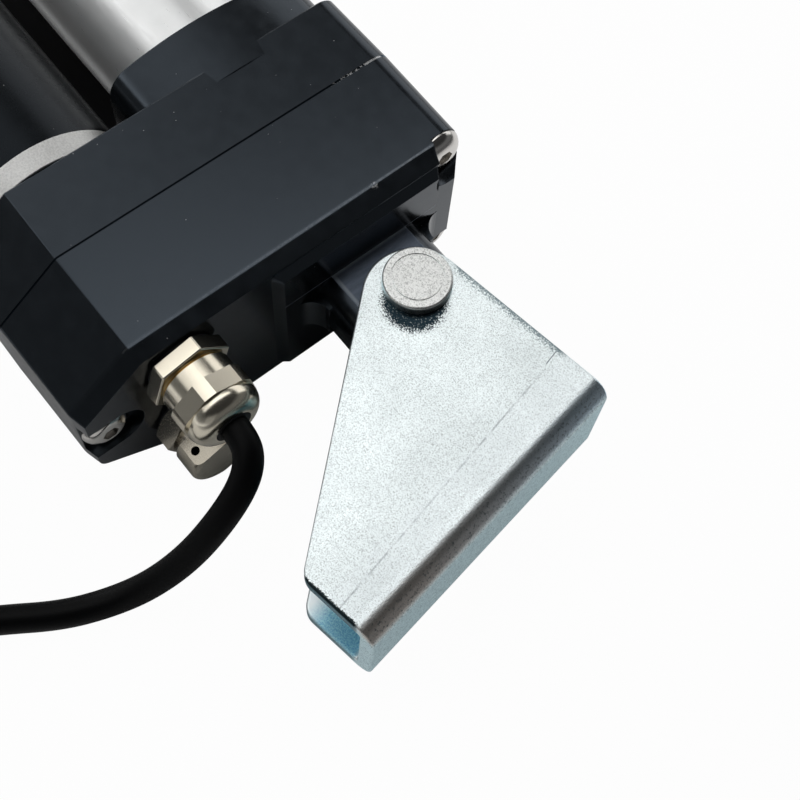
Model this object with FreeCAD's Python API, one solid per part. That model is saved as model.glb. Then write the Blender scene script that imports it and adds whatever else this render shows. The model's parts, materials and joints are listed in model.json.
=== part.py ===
import FreeCAD, Part
import math
import os

# Waterproof linear actuator with a motor beside the tube, in millimetres.
# X runs along the rod, Y towards the motor, Z up. The model is drawn about the
# rear pivot pin at mid height, then moved so that the origin is at the middle of its footprint.

V = FreeCAD.Vector
ALONG = V(1, 0, 0)
UP = V(0, 0, 1)

# Gears
MODULE = 1.0
PRESSURE_ANGLE = math.radians(25)
ADDENDUM = 1.0
DEDENDUM = 1.25
BACKLASH = 0.16
PINION_TEETH = 12
IDLER_WHEEL_TEETH = 29
IDLER_PINION_TEETH = 16
SCREW_GEAR_TEETH = 34
GEAR_ROOM = 0.43
WHEEL_WIDTH = 5.0
SCREW_GEAR_WIDTH = 9.0
PINION_OVERHANG = 0.5
GEAR_SIDE_GAP = 1.2

# Fits, and how far cutting tools run past what they cut
OVERCUT = 1.0
SAME_PLACE = 1e-6
RUNNING_GAP = 0.05
LOOSE_GAP = 0.4
SHOULDER_GAP = 0.5

# Gearbox casting
WALL = 3.0
DRAFT = 0.3
PAD_FACE = 13.9
PAD_STEP = 1.75
PAD_RIGHT = 17.0
PAD_LEFT = 22.0
PAD_ROUND = 2.0
PAD_SLOPE = 1.8
PAD_RIM = 0.3
BEVEL_DEPTH = 3.85
BEVEL_INSET = 1.0
RIGHT_BEVEL = 3.6
REAR_LENGTH = 23.4
FRONT_LENGTH = 18.5
REAR_FLOOR = 6.35
FRONT_FLOOR = 4.0
SIDE_LEDGE = 1.7
MOTOR_LEDGE = 2.3
CORNER_ROUND = 4.5
CHAMFER_RUN = 15.3
CHAMFER_DROP = 10.8
FOLD_ROUND = 0.8
LOW_FOLD_ROUND = 5.0
EDGE_BREAK = 0.4
NECK_LEFT = 23.0
NECK_RIGHT = 25.3
NECK_LENGTH = 11.2
NECK_ARCH = 75.0
NECK_ROUND = 6.5
GASKET_THICK = 0.4
GASKET_SETBACK = 0.5
GASKET_WIDTH = 1.8

# Corner screws, button head with a hexagon socket
SCREW_R = 2.5
SCREW_HOLE_R = 2.8
SCREW_HEAD_R = 5.1
SCREW_HEAD_HEIGHT = 2.8
SCREW_CROWN_R = 2.2
SCREW_BULGE = 0.6
SCREW_RIM = 0.4
SCREW_SOCKET_AF = 3.2
SCREW_SOCKET_DEPTH = 1.6
SCREW_GRIP = 12.0
SCREW_BOSS_R = 4.6
POCKET_R = 5.6
CORNER_SCREW_IN = 5.1
CORNER_SCREW_DOWN = 5.5
CORNER_SEAT = 1.2
MOTOR_SCREW_IN = 5.7
MOTOR_SEAT = 0.35
POCKET_REACH = 2.0

# Rear lug, pivot pin and bracket
LUG_LEFT = 14.6
LUG_RIGHT = 12.8
LUG_THICK = 16.0
LUG_SKIN = 0.5
LUG_ROUND = 7.0
LUG_FLARE = 4.5
PIN_R = 5.0
PIN_HEAD_R = 7.0
PIN_HEAD = 2.2
PIN_HEAD_EDGE = 0.5
PIN_RING_R = 5.4
PIN_RING_WIDTH = 0.5
PIN_RING_DEPTH = 0.2
PIN_TAIL = 4.0
BUSH_WALL = 1.0
WASHER_THICK = 2.3
WASHER_R = 9.0
SHEET = 3.5
BRACKET_TURN = 8.7
BRACKET_GAP = 21.0
BRACKET_DEPTH = 42.5
BRACKET_RIGHT = 8.5
BRACKET_LEFT = 58.5
BRACKET_TOP_R = 10.6
BRACKET_TOP_BACK = 1.6
BRACKET_END_DEPTH = 17.5
BRACKET_CORNER = 4.0
BEND_INSIDE = 0.8
CLIP_THICK = 1.2
CLIP_R = 8.0
CLIP_GROOVE = 1.0
CLIP_MOUTH = 5.0

# Lead screw and its bearings
SCREW_LEAD_R = 6.0
REAR_BEARING_R = 14.0
REAR_BEARING_WIDTH = 8.0
FRONT_BEARING_R = 14.0
FRONT_BEARING_WIDTH = 7.0
FRONT_JOURNAL_R = 7.5
GEAR_SEAT_R = 7.0
COLLAR_R = 8.5
RING_THICK = 2.5
BEARING_SEAT_STEP = 1.0
BEARING_LIP = 2.0
BEARING_BOSS_WALL = 3.0
LOCK_NUT_R = 9.0
LOCK_NUT_LENGTH = 3.6
NUT_RECESS_GAP = 0.8
IDLER_SHAFT_R = 3.0
IDLER_BOSS_R = 6.0
IDLER_SHAFT_GRIP = 4.0

# Motor
MOTOR_RING_R = 21.4
MOTOR_RING_LENGTH = 5.4
MOTOR_STEP = 0.5
MOTOR_WALL = 1.8
MOTOR_LENGTH = 96.0
MOTOR_CAP_LENGTH = 7.0
MOTOR_CAP_LIP = 5.0
MOTOR_CAP_EDGE = 2.0
MOTOR_RING_DISH = 1.5
MOTOR_SHAFT_R = 3.0
MOTOR_BOSS_R = 9.0
MOTOR_BOSS_LENGTH = 3.0
MAGNET_THICK = 3.4
MAGNET_GAP = 0.6
MAGNET_SPREAD = 130.0
CORE_LENGTH = 42.0
CORE_START = 14.0
CORE_SLOTS = 8
SLOT_WIDTH = 2.6
SLOT_DEPTH = 6.0
WINDING_OVERHANG = 7.0
WINDING_R = 12.0
WINDING_BORE = 5.0
WINDING_EDGE = 2.0
COMMUTATOR_R = 6.5
COMMUTATOR_LENGTH = 12.0
COMMUTATOR_BARS = 8
COMMUTATOR_GAP = 1.0
BAR_RISER = 2.0
BAR_DEPTH = 1.0
BAR_GAP = 0.6
BRUSH_PLATE_THICK = 2.0
BRUSH_SIZE = 5.0
BRUSH_LENGTH = 7.0

# Tube, rod and nut
STROKE = 100.0
TUBE_R = 18.0
TUBE_WALL = 2.0
TUBE_SEAT = 10.5
ROD_WALL = 2.5
NUT_LENGTH = 30.0
NUT_START = 3.0
NUT_ROD_GRIP = 12.0
NUT_WALL_GAP = 0.4
SCREW_OVERRUN = 4.0
SCREW_TIP = 1.0
END_ROOM = 10.0
CAP_WALL = 2.6
CAP_OVERLAP = 12.0
CAP_NOSE = 12.5
CAP_EDGE = 1.5
BUSH_LENGTH = 9.0
GUIDE_WALL = 2.5
WIPER_LENGTH = 3.0
WIPER_WALL = 3.2
WIPER_LIP = 1.0
WIPER_LIP_WALL = 0.6
ROD_STANDOUT = 8.0
PLUG_DEPTH = 18.0
EYE_NECK = 7.0
EYE_OFFSET = 18.0
EYE_R = 11.0
EYE_BORE_R = 5.1
EYE_THICK = 20.0
CROSS_PIN_R = 2.0
CROSS_PIN_BACK = 4.0

# Limit switch board in the bottom of the tube
BOARD_THICK = 1.2
BOARD_WIDTH = 8.0
BOARD_CLEARANCE = 0.3
BOARD_SLOT_GAP = 0.8
SWITCH_LENGTH = 6.0
SWITCH_HEIGHT = 2.4
SWITCH_GAP = 0.8
ROD_SWITCH_GAP = 0.6
SWITCH_INSET = 1.0
BOARD_MARGIN = 1.0

# Cable gland
GLAND_UP = 11.2
GLAND_ACROSS = 0.3
GLAND_HEX = 15.6
GLAND_HEX_TURN = 48.0
GLAND_HEX_LENGTH = 2.6
HEX_EDGE = 0.5
GLAND_WASHER = 0.5
GLAND_THREAD_R = 6.4
GLAND_THREAD_SHOW = 1.9
GLAND_GRIP = 3.0
GLAND_COLLAR_R = 7.5
GLAND_COLLAR_LENGTH = 4.0
GLAND_CAP_HEX = 15.9
GLAND_CAP_TURN = 20.0
GLAND_LAND_R = 8.5
GLAND_CAP_LENGTH = 4.0
GLAND_DOME_LENGTH = 4.25
GLAND_DOME_END_R = 4.6
GLAND_DOME_STEP = 0.2
GLAND_DOME_BULGE = 0.72
INSERT_WALL = 1.0
SEAL_SETBACK = 0.4

# Vent plug
VENT_ACROSS = 1.4
VENT_DOWN = 10.7
VENT_HEX = 14.7
VENT_HEX_LENGTH = 5.1
VENT_WASHER = 0.6
VENT_THREAD_R = 5.0
VENT_GRIP = 4.0
VENT_NECK_R = 6.2
VENT_NECK = 1.6
VENT_CAP_R = 7.8
VENT_FLATS = 12.2
VENT_FLATS_TURN = -19.0
VENT_CAP_LENGTH = 6.3
VENT_CAP_EDGE = 1.3
VENT_HOLE_R = 0.95
VENT_HOLE_BACK = 3.1
VENT_HOLE_ASIDE = 3.1
VENT_BORE_R = 3.4
VENT_CHAMBER_R = 4.6
VENT_CHAMBER_PAST = 0.5

# Cable
CABLE_R = 3.0
COIL_R = 33.0
COIL_HALF_BAND = 6.0
COIL_HEIGHT = 12.0
COIL_LIFT = 1.0
COIL_CENTRE = (55.0, 126.0)
TAIL_ANGLE = 100.0
TAIL_SKIP = 13.0
TAIL_RUN = 20.0
PLUG_WIDTH = 12.0
PLUG_LENGTH = 20.0
PLUG_ROUND = 1.4
PLUG_NOSE_LENGTH = 7.0
PLUG_NOSE_WIDTH = 8.6
PLUG_NOSE_HEIGHT = 4.0
TIE_ANGLE = 160.0
TIE_WIDTH = 3.0
TIE_THICK = 0.9
TIE_GAP = 0.1

# Places along the axis
REAR_FACE = PAD_FACE + PAD_STEP
REAR_EDGE = REAR_FACE + BEVEL_DEPTH
PARTING = REAR_EDGE + REAR_LENGTH
FRONT_FACE = PARTING + FRONT_LENGTH
NECK_END = FRONT_FACE + NECK_LENGTH
REAR_INSIDE = REAR_FACE + REAR_FLOOR
FRONT_INSIDE = FRONT_FACE - FRONT_FLOOR
REAR_BEARING = REAR_INSIDE + BEARING_SEAT_STEP
GEAR_HUB = REAR_BEARING + REAR_BEARING_WIDTH
SCREW_GEAR = GEAR_HUB + GEAR_SIDE_GAP
COLLAR = SCREW_GEAR + SCREW_GEAR_WIDTH
WHEEL = COLLAR + GEAR_SIDE_GAP
WHEEL_END = WHEEL + WHEEL_WIDTH
FRONT_BEARING = WHEEL_END + GEAR_SIDE_GAP + SHOULDER_GAP
FRONT_BEARING_END = FRONT_BEARING + FRONT_BEARING_WIDTH
TUBE_START = NECK_END - TUBE_SEAT
NUT = NECK_END + NUT_START
NUT_END = NUT + NUT_LENGTH
ROD_START = NUT_END - NUT_ROD_GRIP
TUBE_END = NUT_END + STROKE + END_ROOM
CAP_END = TUBE_END + CAP_NOSE
ROD_END = CAP_END + ROD_STANDOUT
EYE = ROD_END + EYE_OFFSET
SCREW_END = NUT_END + STROKE - SCREW_OVERRUN
MOTOR_START = FRONT_FACE + MOTOR_RING_LENGTH
MOTOR_END = MOTOR_START + MOTOR_LENGTH

# Places across the axis
STAGE_TWO = MODULE * (SCREW_GEAR_TEETH + IDLER_PINION_TEETH) / 2
STAGE_ONE = MODULE * (IDLER_WHEEL_TEETH + PINION_TEETH) / 2
IDLER_Y = STAGE_TWO
MOTOR_Y = STAGE_TWO + STAGE_ONE
SCREW_GEAR_TIP = MODULE * (SCREW_GEAR_TEETH / 2 + ADDENDUM)
HALF_HEIGHT = SCREW_GEAR_TIP + GEAR_ROOM + WALL
RIGHT_SIDE = -(NECK_RIGHT + SIDE_LEDGE)
LEFT_SIDE = MOTOR_Y + MOTOR_RING_R + MOTOR_LEDGE
FOLD_Y = LEFT_SIDE - CHAMFER_RUN
SIDE_TOP = HALF_HEIGHT - CHAMFER_DROP
TUBE_BORE_R = TUBE_R - TUBE_WALL
BOARD_SEAT = math.sqrt(TUBE_BORE_R ** 2 - (BOARD_WIDTH / 2) ** 2)
BOARD_DROP = BOARD_SEAT - BOARD_CLEARANCE - BOARD_THICK
ROD_R = BOARD_DROP - SWITCH_HEIGHT - ROD_SWITCH_GAP
ROD_BORE_R = ROD_R - ROD_WALL
MOTOR_R = MOTOR_RING_R - MOTOR_STEP
MOTOR_BORE_R = MOTOR_R - MOTOR_WALL
MAGNET_BORE_R = MOTOR_BORE_R - MAGNET_THICK
CORE_R = MAGNET_BORE_R - MAGNET_GAP
GLAND_Y = MOTOR_Y + GLAND_ACROSS
VENT_Y = MOTOR_Y + VENT_ACROSS
VENT_Z = -VENT_DOWN
FLOOR = -HALF_HEIGHT
BRACKET_HALF = BRACKET_GAP / 2 + SHEET
GLAND_HEX_FACE = REAR_FACE - GLAND_WASHER - GLAND_HEX_LENGTH
GLAND_CAP = GLAND_HEX_FACE - GLAND_THREAD_SHOW
GLAND_FLATS = GLAND_CAP - GLAND_COLLAR_LENGTH
GLAND_DOME = GLAND_FLATS - GLAND_CAP_LENGTH
GLAND_END = GLAND_DOME - GLAND_DOME_LENGTH
VENT_HEX_FACE = REAR_FACE - VENT_WASHER - VENT_HEX_LENGTH
VENT_CAP = VENT_HEX_FACE - VENT_NECK
VENT_END = VENT_CAP - VENT_CAP_LENGTH

# The cable's route from the gland to the coil, chosen by eye
CABLE_ROUTE = [
    (GLAND_END, GLAND_Y, GLAND_UP),
    (-5.4, GLAND_Y, GLAND_UP),
    (-9.0, 47.7, 10.1),
    (-11.3, 51.4, 7.4),
    (-12.4, 58.0, 1.6),
    (-12.0, 65.6, -6.2),
    (-9.9, 73.8, -13.4),
    (-6.6, 82.0, -17.8),
    (-2.6, 91.2, FLOOR + CABLE_R),
    (4.2, 101.2, FLOOR + CABLE_R),
    (12.4, 114.5, FLOOR + CABLE_R),
    (18.2, 126.5, FLOOR + CABLE_R + COIL_LIFT / 2),
    (20.9, 137.5, FLOOR + CABLE_R + COIL_LIFT),
]
CABLE_BEND_SHARE = 0.45


def cyl(x0, x1, radius, y=0.0, z=0.0):
    """Cylinder along X."""
    return Part.makeCylinder(radius, x1 - x0, V(x0, y, z), ALONG)


def sleeve(x0, x1, outer, inner, y=0.0, z=0.0):
    """Tube along X."""
    return cyl(x0, x1, outer, y, z).cut(cyl(x0 - OVERCUT, x1 + OVERCUT, inner, y, z))


def post(z0, z1, radius, x=0.0, y=0.0):
    """Cylinder along Z."""
    return Part.makeCylinder(radius, z1 - z0, V(x, y, z0), UP)


def block(x0, x1, y0, y1, z0, z1):
    """Box between two corners."""
    return Part.makeBox(x1 - x0, y1 - y0, z1 - z0, V(x0, y0, z0))


def turned(profile, y=0.0, z=0.0):
    """Solid turned about an X-parallel axis from (x, radius) points."""
    points = [V(x, y + radius, z) for x, radius in profile]
    face = Part.Face(Part.makePolygon(points + points[:1]))
    return face.revolve(V(0, y, z), ALONG, 360)


def fuse(shapes):
    """One solid from several that touch."""
    return shapes[0].multiFuse(shapes[1:]).removeSplitter()


def hexagon(x0, x1, across_flats, y, z, turn):
    """Hexagonal prism along X, its first corner turned from +Y."""
    radius = across_flats / math.sqrt(3)
    corners = []
    for step in range(7):
        angle = math.radians(turn + 60 * step)
        corners.append(V(x0, y + radius * math.cos(angle), z + radius * math.sin(angle)))
    return Part.Face(Part.makePolygon(corners)).extrude(V(x1 - x0, 0, 0))


def hex_nut(x0, x1, across_flats, y, z, turn):
    """Hexagonal prism along X with its corners chamfered at both ends."""
    corner_r = across_flats / math.sqrt(3)
    face_r = across_flats / 2
    crown = turned([
        (x0, 0),
        (x0, face_r),
        (x0 + HEX_EDGE, corner_r),
        (x1 - HEX_EDGE, corner_r),
        (x1, face_r),
        (x1, 0),
    ], y, z)
    return hexagon(x0, x1, across_flats, y, z, turn).common(crown)


def rounded_wire(corners, place):
    """Closed wire through (u, v, radius) corners; place puts a flat point into space."""
    marks = []
    for i, (u, v, radius) in enumerate(corners):
        here = V(u, v, 0)
        back = (V(*corners[i - 1][:2], 0) - here).normalize()
        ahead = (V(*corners[(i + 1) % len(corners)][:2], 0) - here).normalize()
        half = back.getAngle(ahead) / 2
        centre = here + (back + ahead).normalize() * (radius / math.sin(half))
        middle = centre + (here - centre).normalize() * radius
        run = radius / math.tan(half)
        marks.append((here + back * run, middle, here + ahead * run))
    edges = []
    for i, (start, middle, end) in enumerate(marks):
        edges.append(Part.Arc(place(start), place(middle), place(end)).toShape())
        following = marks[(i + 1) % len(marks)][0]
        edges.append(Part.LineSegment(place(end), place(following)).toShape())
    return Part.Wire(edges)


def inset_corners(corners, inset, least_round=0.4):
    """The same outline moved inwards, its corners kept in order."""
    moved = []
    for i, (u, v, radius) in enumerate(corners):
        here = V(u, v, 0)
        into = (here - V(*corners[i - 1][:2], 0)).normalize()
        out = (V(*corners[(i + 1) % len(corners)][:2], 0) - here).normalize()
        normal_in = V(-into.y, into.x, 0)
        normal_out = V(-out.y, out.x, 0)
        shift = (normal_in + normal_out) * (inset / (1 + normal_in.dot(normal_out)))
        point = here + shift
        moved.append((point.x, point.y, max(radius - inset, least_round)))
    return moved


# Outline of the gearbox seen along the axis, anticlockwise
HOUSING = [
    (RIGHT_SIDE, -HALF_HEIGHT, CORNER_ROUND),
    (FOLD_Y, -HALF_HEIGHT, FOLD_ROUND),
    (LEFT_SIDE, -SIDE_TOP, LOW_FOLD_ROUND),
    (LEFT_SIDE, SIDE_TOP, FOLD_ROUND),
    (FOLD_Y, HALF_HEIGHT, FOLD_ROUND),
    (RIGHT_SIDE, HALF_HEIGHT, CORNER_ROUND),
]


def outline(x, inset, right_inset=None):
    """Gearbox outline at one place along the axis; its right side may be moved in further."""
    corners = inset_corners(HOUSING, inset)
    if right_inset is not None:
        further = right_inset - inset
        corners = [(u + further, v, radius) if u < 0 else (u, v, radius) for u, v, radius in corners]
    return rounded_wire(corners, lambda p: V(x, p.x, p.y))


def taper(x0, inset0, x1, inset1):
    """Straight-sided solid between two gearbox outlines."""
    return Part.makeLoft([outline(x0, inset0), outline(x1, inset1)], True, True)


def eased_rim(body, x):
    """Break the edges that lie in one plane across the axis."""
    rim = []
    for edge in body.Edges:
        box = edge.BoundBox
        if box.XLength < SAME_PLACE and abs(box.XMin - x) < SAME_PLACE:
            rim.append(edge)
    return body.makeChamfer(EDGE_BREAK, rim)


def cavity(x0, x1):
    """Inside of the gearbox wall between two places."""
    return Part.Face(outline(x0, WALL)).extrude(V(x1 - x0, 0, 0))


# Corner screws: place across the axis, and where the head seats
SCREWS = [
    (LEFT_SIDE - MOTOR_SCREW_IN, 0.0, REAR_FACE + MOTOR_SEAT + SCREW_HEAD_HEIGHT),
    (RIGHT_SIDE + CORNER_SCREW_IN, HALF_HEIGHT - CORNER_SCREW_DOWN, REAR_EDGE + CORNER_SEAT),
    (RIGHT_SIDE + CORNER_SCREW_IN, CORNER_SCREW_DOWN - HALF_HEIGHT, REAR_EDGE + CORNER_SEAT),
]


def screw_bosses(x0, x1):
    """Pillars inside the gearbox that take the corner screws."""
    return [cyl(x0, x1, SCREW_BOSS_R, y, z) for y, z, seat in SCREWS]


def gear(teeth, x0, x1, y, turn, bore):
    """Spur gear with involute flanks, drawn as one arc each, axis along X."""
    pitch_r = MODULE * teeth / 2
    base_r = pitch_r * math.cos(PRESSURE_ANGLE)
    tip_r = pitch_r + MODULE * ADDENDUM
    root_r = pitch_r - MODULE * DEDENDUM
    start_r = max(base_r, root_r)
    half_pitch_angle = math.pi / (2 * teeth) - BACKLASH / (2 * pitch_r)
    unwound = math.tan(PRESSURE_ANGLE) - PRESSURE_ANGLE

    def half_angle(radius):
        slope = math.acos(min(1.0, base_r / radius))
        return half_pitch_angle + unwound - (math.tan(slope) - slope)

    def at(radius, angle):
        return V(x0, y + radius * math.cos(angle), radius * math.sin(angle))

    def flank(centre, side, radii):
        return [at(r, centre + side * half_angle(r)) for r in radii]

    radii = [start_r, (start_r + tip_r) / 2, tip_r]
    edges = []
    for tooth in range(teeth):
        centre = turn + 2 * math.pi * tooth / teeth
        following = centre + 2 * math.pi / teeth
        rise = flank(centre, -1, radii)
        fall = flank(centre, 1, radii[::-1])
        foot_in = at(root_r, centre - half_angle(start_r))
        foot_out = at(root_r, centre + half_angle(start_r))
        next_foot = at(root_r, following - half_angle(start_r))
        if start_r > root_r:
            edges.append(Part.LineSegment(foot_in, rise[0]).toShape())
        edges.append(Part.Arc(*rise).toShape())
        edges.append(Part.LineSegment(rise[2], fall[0]).toShape())
        edges.append(Part.Arc(*fall).toShape())
        if start_r > root_r:
            edges.append(Part.LineSegment(fall[2], foot_out).toShape())
        edges.append(Part.LineSegment(foot_out, next_foot).toShape())
    blank = Part.Face(Part.Wire(edges)).extrude(V(x1 - x0, 0, 0))
    return blank.cut(cyl(x0 - OVERCUT, x1 + OVERCUT, bore, y))


def meshing_turn(teeth):
    """Turn of a gear so that a gap, not a tooth, faces the gear on its -Y side."""
    return math.pi * (1 + 1 / teeth)


# Gearbox

def lug():
    """Rear pivot lug: a tongue with a round end, rounded edges and machined flats, flared at its root."""
    half = LUG_THICK / 2 + LUG_SKIN
    inside = REAR_EDGE
    reach = (LUG_LEFT + LUG_RIGHT) / 2
    middle = (LUG_LEFT - LUG_RIGHT) / 2

    def at(x, y):
        return V(x, y, -half)

    edges = [
        Part.LineSegment(at(inside, -LUG_RIGHT), at(0, -LUG_RIGHT)).toShape(),
        Part.Arc(at(0, -LUG_RIGHT), at(-reach, middle), at(0, LUG_LEFT)).toShape(),
        Part.LineSegment(at(0, LUG_LEFT), at(inside, LUG_LEFT)).toShape(),
        Part.LineSegment(at(inside, LUG_LEFT), at(inside, -LUG_RIGHT)).toShape(),
    ]
    tongue = Part.Face(Part.Wire(edges)).extrude(V(0, 0, 2 * half))
    rims = []
    for edge in tongue.Edges:
        box = edge.BoundBox
        if box.ZLength < SAME_PLACE and box.XMin < REAR_FACE:
            rims.append(edge)
    tongue = tongue.makeFillet(LUG_ROUND, rims)
    flat = LUG_THICK / 2
    tongue = tongue.common(block(-2 * reach, inside, -2 * reach, 2 * reach, -flat, flat))
    shapes = [tongue]
    flare_half = half - LUG_ROUND / 2
    for side, sign in ((LUG_LEFT, 1), (LUG_RIGHT, -1)):
        flare = block(PAD_FACE - LUG_FLARE, inside, -LUG_FLARE / 2, LUG_FLARE / 2, -flare_half, flare_half)
        root = block(PAD_FACE - LUG_FLARE, inside, -LUG_ROUND / 2, LUG_ROUND / 2, -flare_half, flare_half)
        flare.translate(V(0, sign * (side + LUG_FLARE / 2), 0))
        root.translate(V(0, sign * (side - LUG_ROUND / 2), 0))
        hollow = post(-half, half, LUG_FLARE, PAD_FACE - LUG_FLARE, sign * (side + LUG_FLARE))
        shapes.append(fuse([flare, root]).cut(hollow))
    return fuse(shapes)


def pad():
    """Raised field round the lug, its sides sloping down to the rear face."""
    high = HALF_HEIGHT - DRAFT - BEVEL_INSET - PAD_RIM
    foot = [
        (-PAD_RIGHT - PAD_SLOPE, -high, PAD_ROUND),
        (PAD_LEFT + PAD_SLOPE, -high, PAD_ROUND),
        (PAD_LEFT + PAD_SLOPE, high, PAD_ROUND),
        (-PAD_RIGHT - PAD_SLOPE, high, PAD_ROUND),
    ]
    lower = rounded_wire(foot, lambda p: V(REAR_FACE, p.x, p.y))
    upper = rounded_wire(inset_corners(foot, PAD_SLOPE), lambda p: V(PAD_FACE, p.x, p.y))
    field = Part.makeLoft([lower, upper], True, True)
    root = Part.Face(lower).extrude(V(BEVEL_DEPTH, 0, 0))
    return fuse([field, root])


def rear_housing():
    shell = taper(PARTING, 0, REAR_EDGE, DRAFT)
    foot = outline(REAR_EDGE, DRAFT)
    face = outline(REAR_FACE, DRAFT + BEVEL_INSET, DRAFT + RIGHT_BEVEL)
    bevel = Part.makeLoft([foot, face], True, True)
    casing = eased_rim(fuse([shell, bevel]), REAR_EDGE)
    body = fuse([casing, pad(), lug()])

    bearing_boss = cyl(REAR_INSIDE, GEAR_HUB, REAR_BEARING_R + BEARING_BOSS_WALL)
    idler_boss = cyl(REAR_INSIDE, GEAR_HUB - SHOULDER_GAP, IDLER_BOSS_R, IDLER_Y)
    hollow = cavity(REAR_INSIDE, PARTING)
    for boss in screw_bosses(REAR_INSIDE, PARTING) + [bearing_boss, idler_boss]:
        hollow = hollow.cut(boss)
    cuts = [hollow]
    cuts.append(cyl(REAR_BEARING, PARTING, REAR_BEARING_R))
    nut_floor = REAR_BEARING - LOCK_NUT_LENGTH - NUT_RECESS_GAP
    cuts.append(cyl(nut_floor, REAR_BEARING + OVERCUT, LOCK_NUT_R + NUT_RECESS_GAP))
    cuts.append(cyl(REAR_INSIDE - IDLER_SHAFT_GRIP, PARTING, IDLER_SHAFT_R, IDLER_Y))
    bush_r = PIN_R + RUNNING_GAP + BUSH_WALL
    cuts.append(post(-LUG_THICK, LUG_THICK, bush_r))
    cuts.append(cyl(REAR_FACE - OVERCUT, REAR_INSIDE + OVERCUT, GLAND_THREAD_R, GLAND_Y, GLAND_UP))
    cuts.append(cyl(REAR_FACE - OVERCUT, REAR_INSIDE + OVERCUT, VENT_THREAD_R, VENT_Y, VENT_Z))
    for y, z, seat in SCREWS:
        cuts.append(cyl(PAD_FACE, PARTING + OVERCUT, SCREW_HOLE_R, y, z))
        cuts.append(cyl(PAD_FACE, seat, POCKET_R, y, z))
    slot_y = LEFT_SIDE - MOTOR_SCREW_IN - POCKET_REACH
    slot_seat = SCREWS[0][2]
    cuts.append(cyl(PAD_FACE, slot_seat, POCKET_R, slot_y))
    cuts.append(block(PAD_FACE, slot_seat, slot_y, LEFT_SIDE + OVERCUT, -POCKET_R, POCKET_R))
    gasket_corners = inset_corners(HOUSING, GASKET_SETBACK)
    gasket_wire = rounded_wire(gasket_corners, lambda p: V(PARTING - GASKET_THICK, p.x, p.y))
    cuts.append(Part.Face(gasket_wire).extrude(V(GASKET_THICK + OVERCUT, 0, 0)))
    for tool in cuts:
        body = body.cut(tool)
    return body.removeSplitter()


def neck():
    """Square socket for the tube, with arched top and bottom and rounded long edges."""
    length = NECK_END - FRONT_INSIDE
    arch_centre = HALF_HEIGHT - NECK_ARCH
    box = block(FRONT_INSIDE, NECK_END, -NECK_RIGHT, NECK_LEFT, -HALF_HEIGHT, HALF_HEIGHT)
    for side in (-1, 1):
        arch = Part.makeCylinder(NECK_ARCH, length, V(FRONT_INSIDE, 0, side * arch_centre), ALONG)
        box = box.common(arch)
    long_edges = []
    for edge in box.Edges:
        y = edge.CenterOfMass.y
        corner = min(abs(y - NECK_LEFT), abs(y + NECK_RIGHT)) < SAME_PLACE
        if corner and edge.BoundBox.XLength > length - SAME_PLACE:
            long_edges.append(edge)
    return box.makeFillet(NECK_ROUND, long_edges)


def front_housing():
    casing = eased_rim(taper(PARTING, 0, FRONT_FACE, DRAFT), FRONT_FACE)
    body = fuse([casing, neck()])
    bearing_boss = cyl(FRONT_BEARING - SHOULDER_GAP, FRONT_FACE, FRONT_BEARING_R + BEARING_BOSS_WALL)
    idler_boss = cyl(WHEEL_END + SHOULDER_GAP, FRONT_FACE, IDLER_BOSS_R, IDLER_Y)
    hollow = cavity(PARTING, FRONT_INSIDE)
    for boss in screw_bosses(PARTING, FRONT_FACE) + [bearing_boss, idler_boss]:
        hollow = hollow.cut(boss)
    cuts = [hollow]
    cuts.append(cyl(PARTING, FRONT_BEARING_END, FRONT_BEARING_R))
    cuts.append(cyl(PARTING, TUBE_START, FRONT_BEARING_R - BEARING_LIP))
    cuts.append(cyl(TUBE_START, NECK_END + OVERCUT, TUBE_R))
    cuts.append(cyl(PARTING, WHEEL_END + SHOULDER_GAP + IDLER_SHAFT_GRIP, IDLER_SHAFT_R, IDLER_Y))
    cuts.append(cyl(PARTING, FRONT_FACE + OVERCUT, MOTOR_BOSS_R, MOTOR_Y))
    for y, z, seat in SCREWS:
        cuts.append(cyl(PARTING - OVERCUT, PARTING + SCREW_GRIP, SCREW_R, y, z))
    for tool in cuts:
        body = body.cut(tool)
    return body.removeSplitter()


def housing_gasket():
    x = PARTING - GASKET_THICK
    rim = rounded_wire(inset_corners(HOUSING, GASKET_SETBACK), lambda p: V(x, p.x, p.y))
    inner = inset_corners(HOUSING, GASKET_SETBACK + GASKET_WIDTH)
    hole = rounded_wire(inner, lambda p: V(x, p.x, p.y))
    hole.reverse()
    sheet = Part.Face([rim, hole]).extrude(V(GASKET_THICK, 0, 0))
    for y, z, seat in SCREWS:
        sheet = sheet.cut(cyl(x - OVERCUT, PARTING + OVERCUT, SCREW_HOLE_R, y, z))
    return sheet


def housing_screw(y, z, seat):
    head_top = seat - SCREW_HEAD_HEIGHT
    tip = PARTING + SCREW_GRIP - SHOULDER_GAP

    def at(x, radius):
        return V(x, y + radius, z)

    crown = at(head_top, SCREW_CROWN_R)
    rim = at(seat - SCREW_RIM, SCREW_HEAD_R)
    chord = rim - crown
    brow = (crown + rim) / 2 + V(-chord.y, chord.x, 0).normalize() * SCREW_BULGE
    shank = [at(seat, SCREW_HEAD_R), at(seat, SCREW_R), at(tip, SCREW_R), at(tip, 0)]
    corners = [rim] + shank + [at(head_top, 0), crown]
    edges = [Part.Arc(crown, brow, rim).toShape()]
    for start, end in zip(corners, corners[1:]):
        edges.append(Part.LineSegment(start, end).toShape())
    screw = Part.Face(Part.Wire(edges)).revolve(V(0, y, z), ALONG, 360)
    socket = hexagon(head_top - OVERCUT, head_top + SCREW_SOCKET_DEPTH, SCREW_SOCKET_AF, y, z, 0)
    return screw.cut(socket)


def housing_screws():
    return Part.makeCompound([housing_screw(*screw) for screw in SCREWS])


# Lead screw and gears

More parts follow.
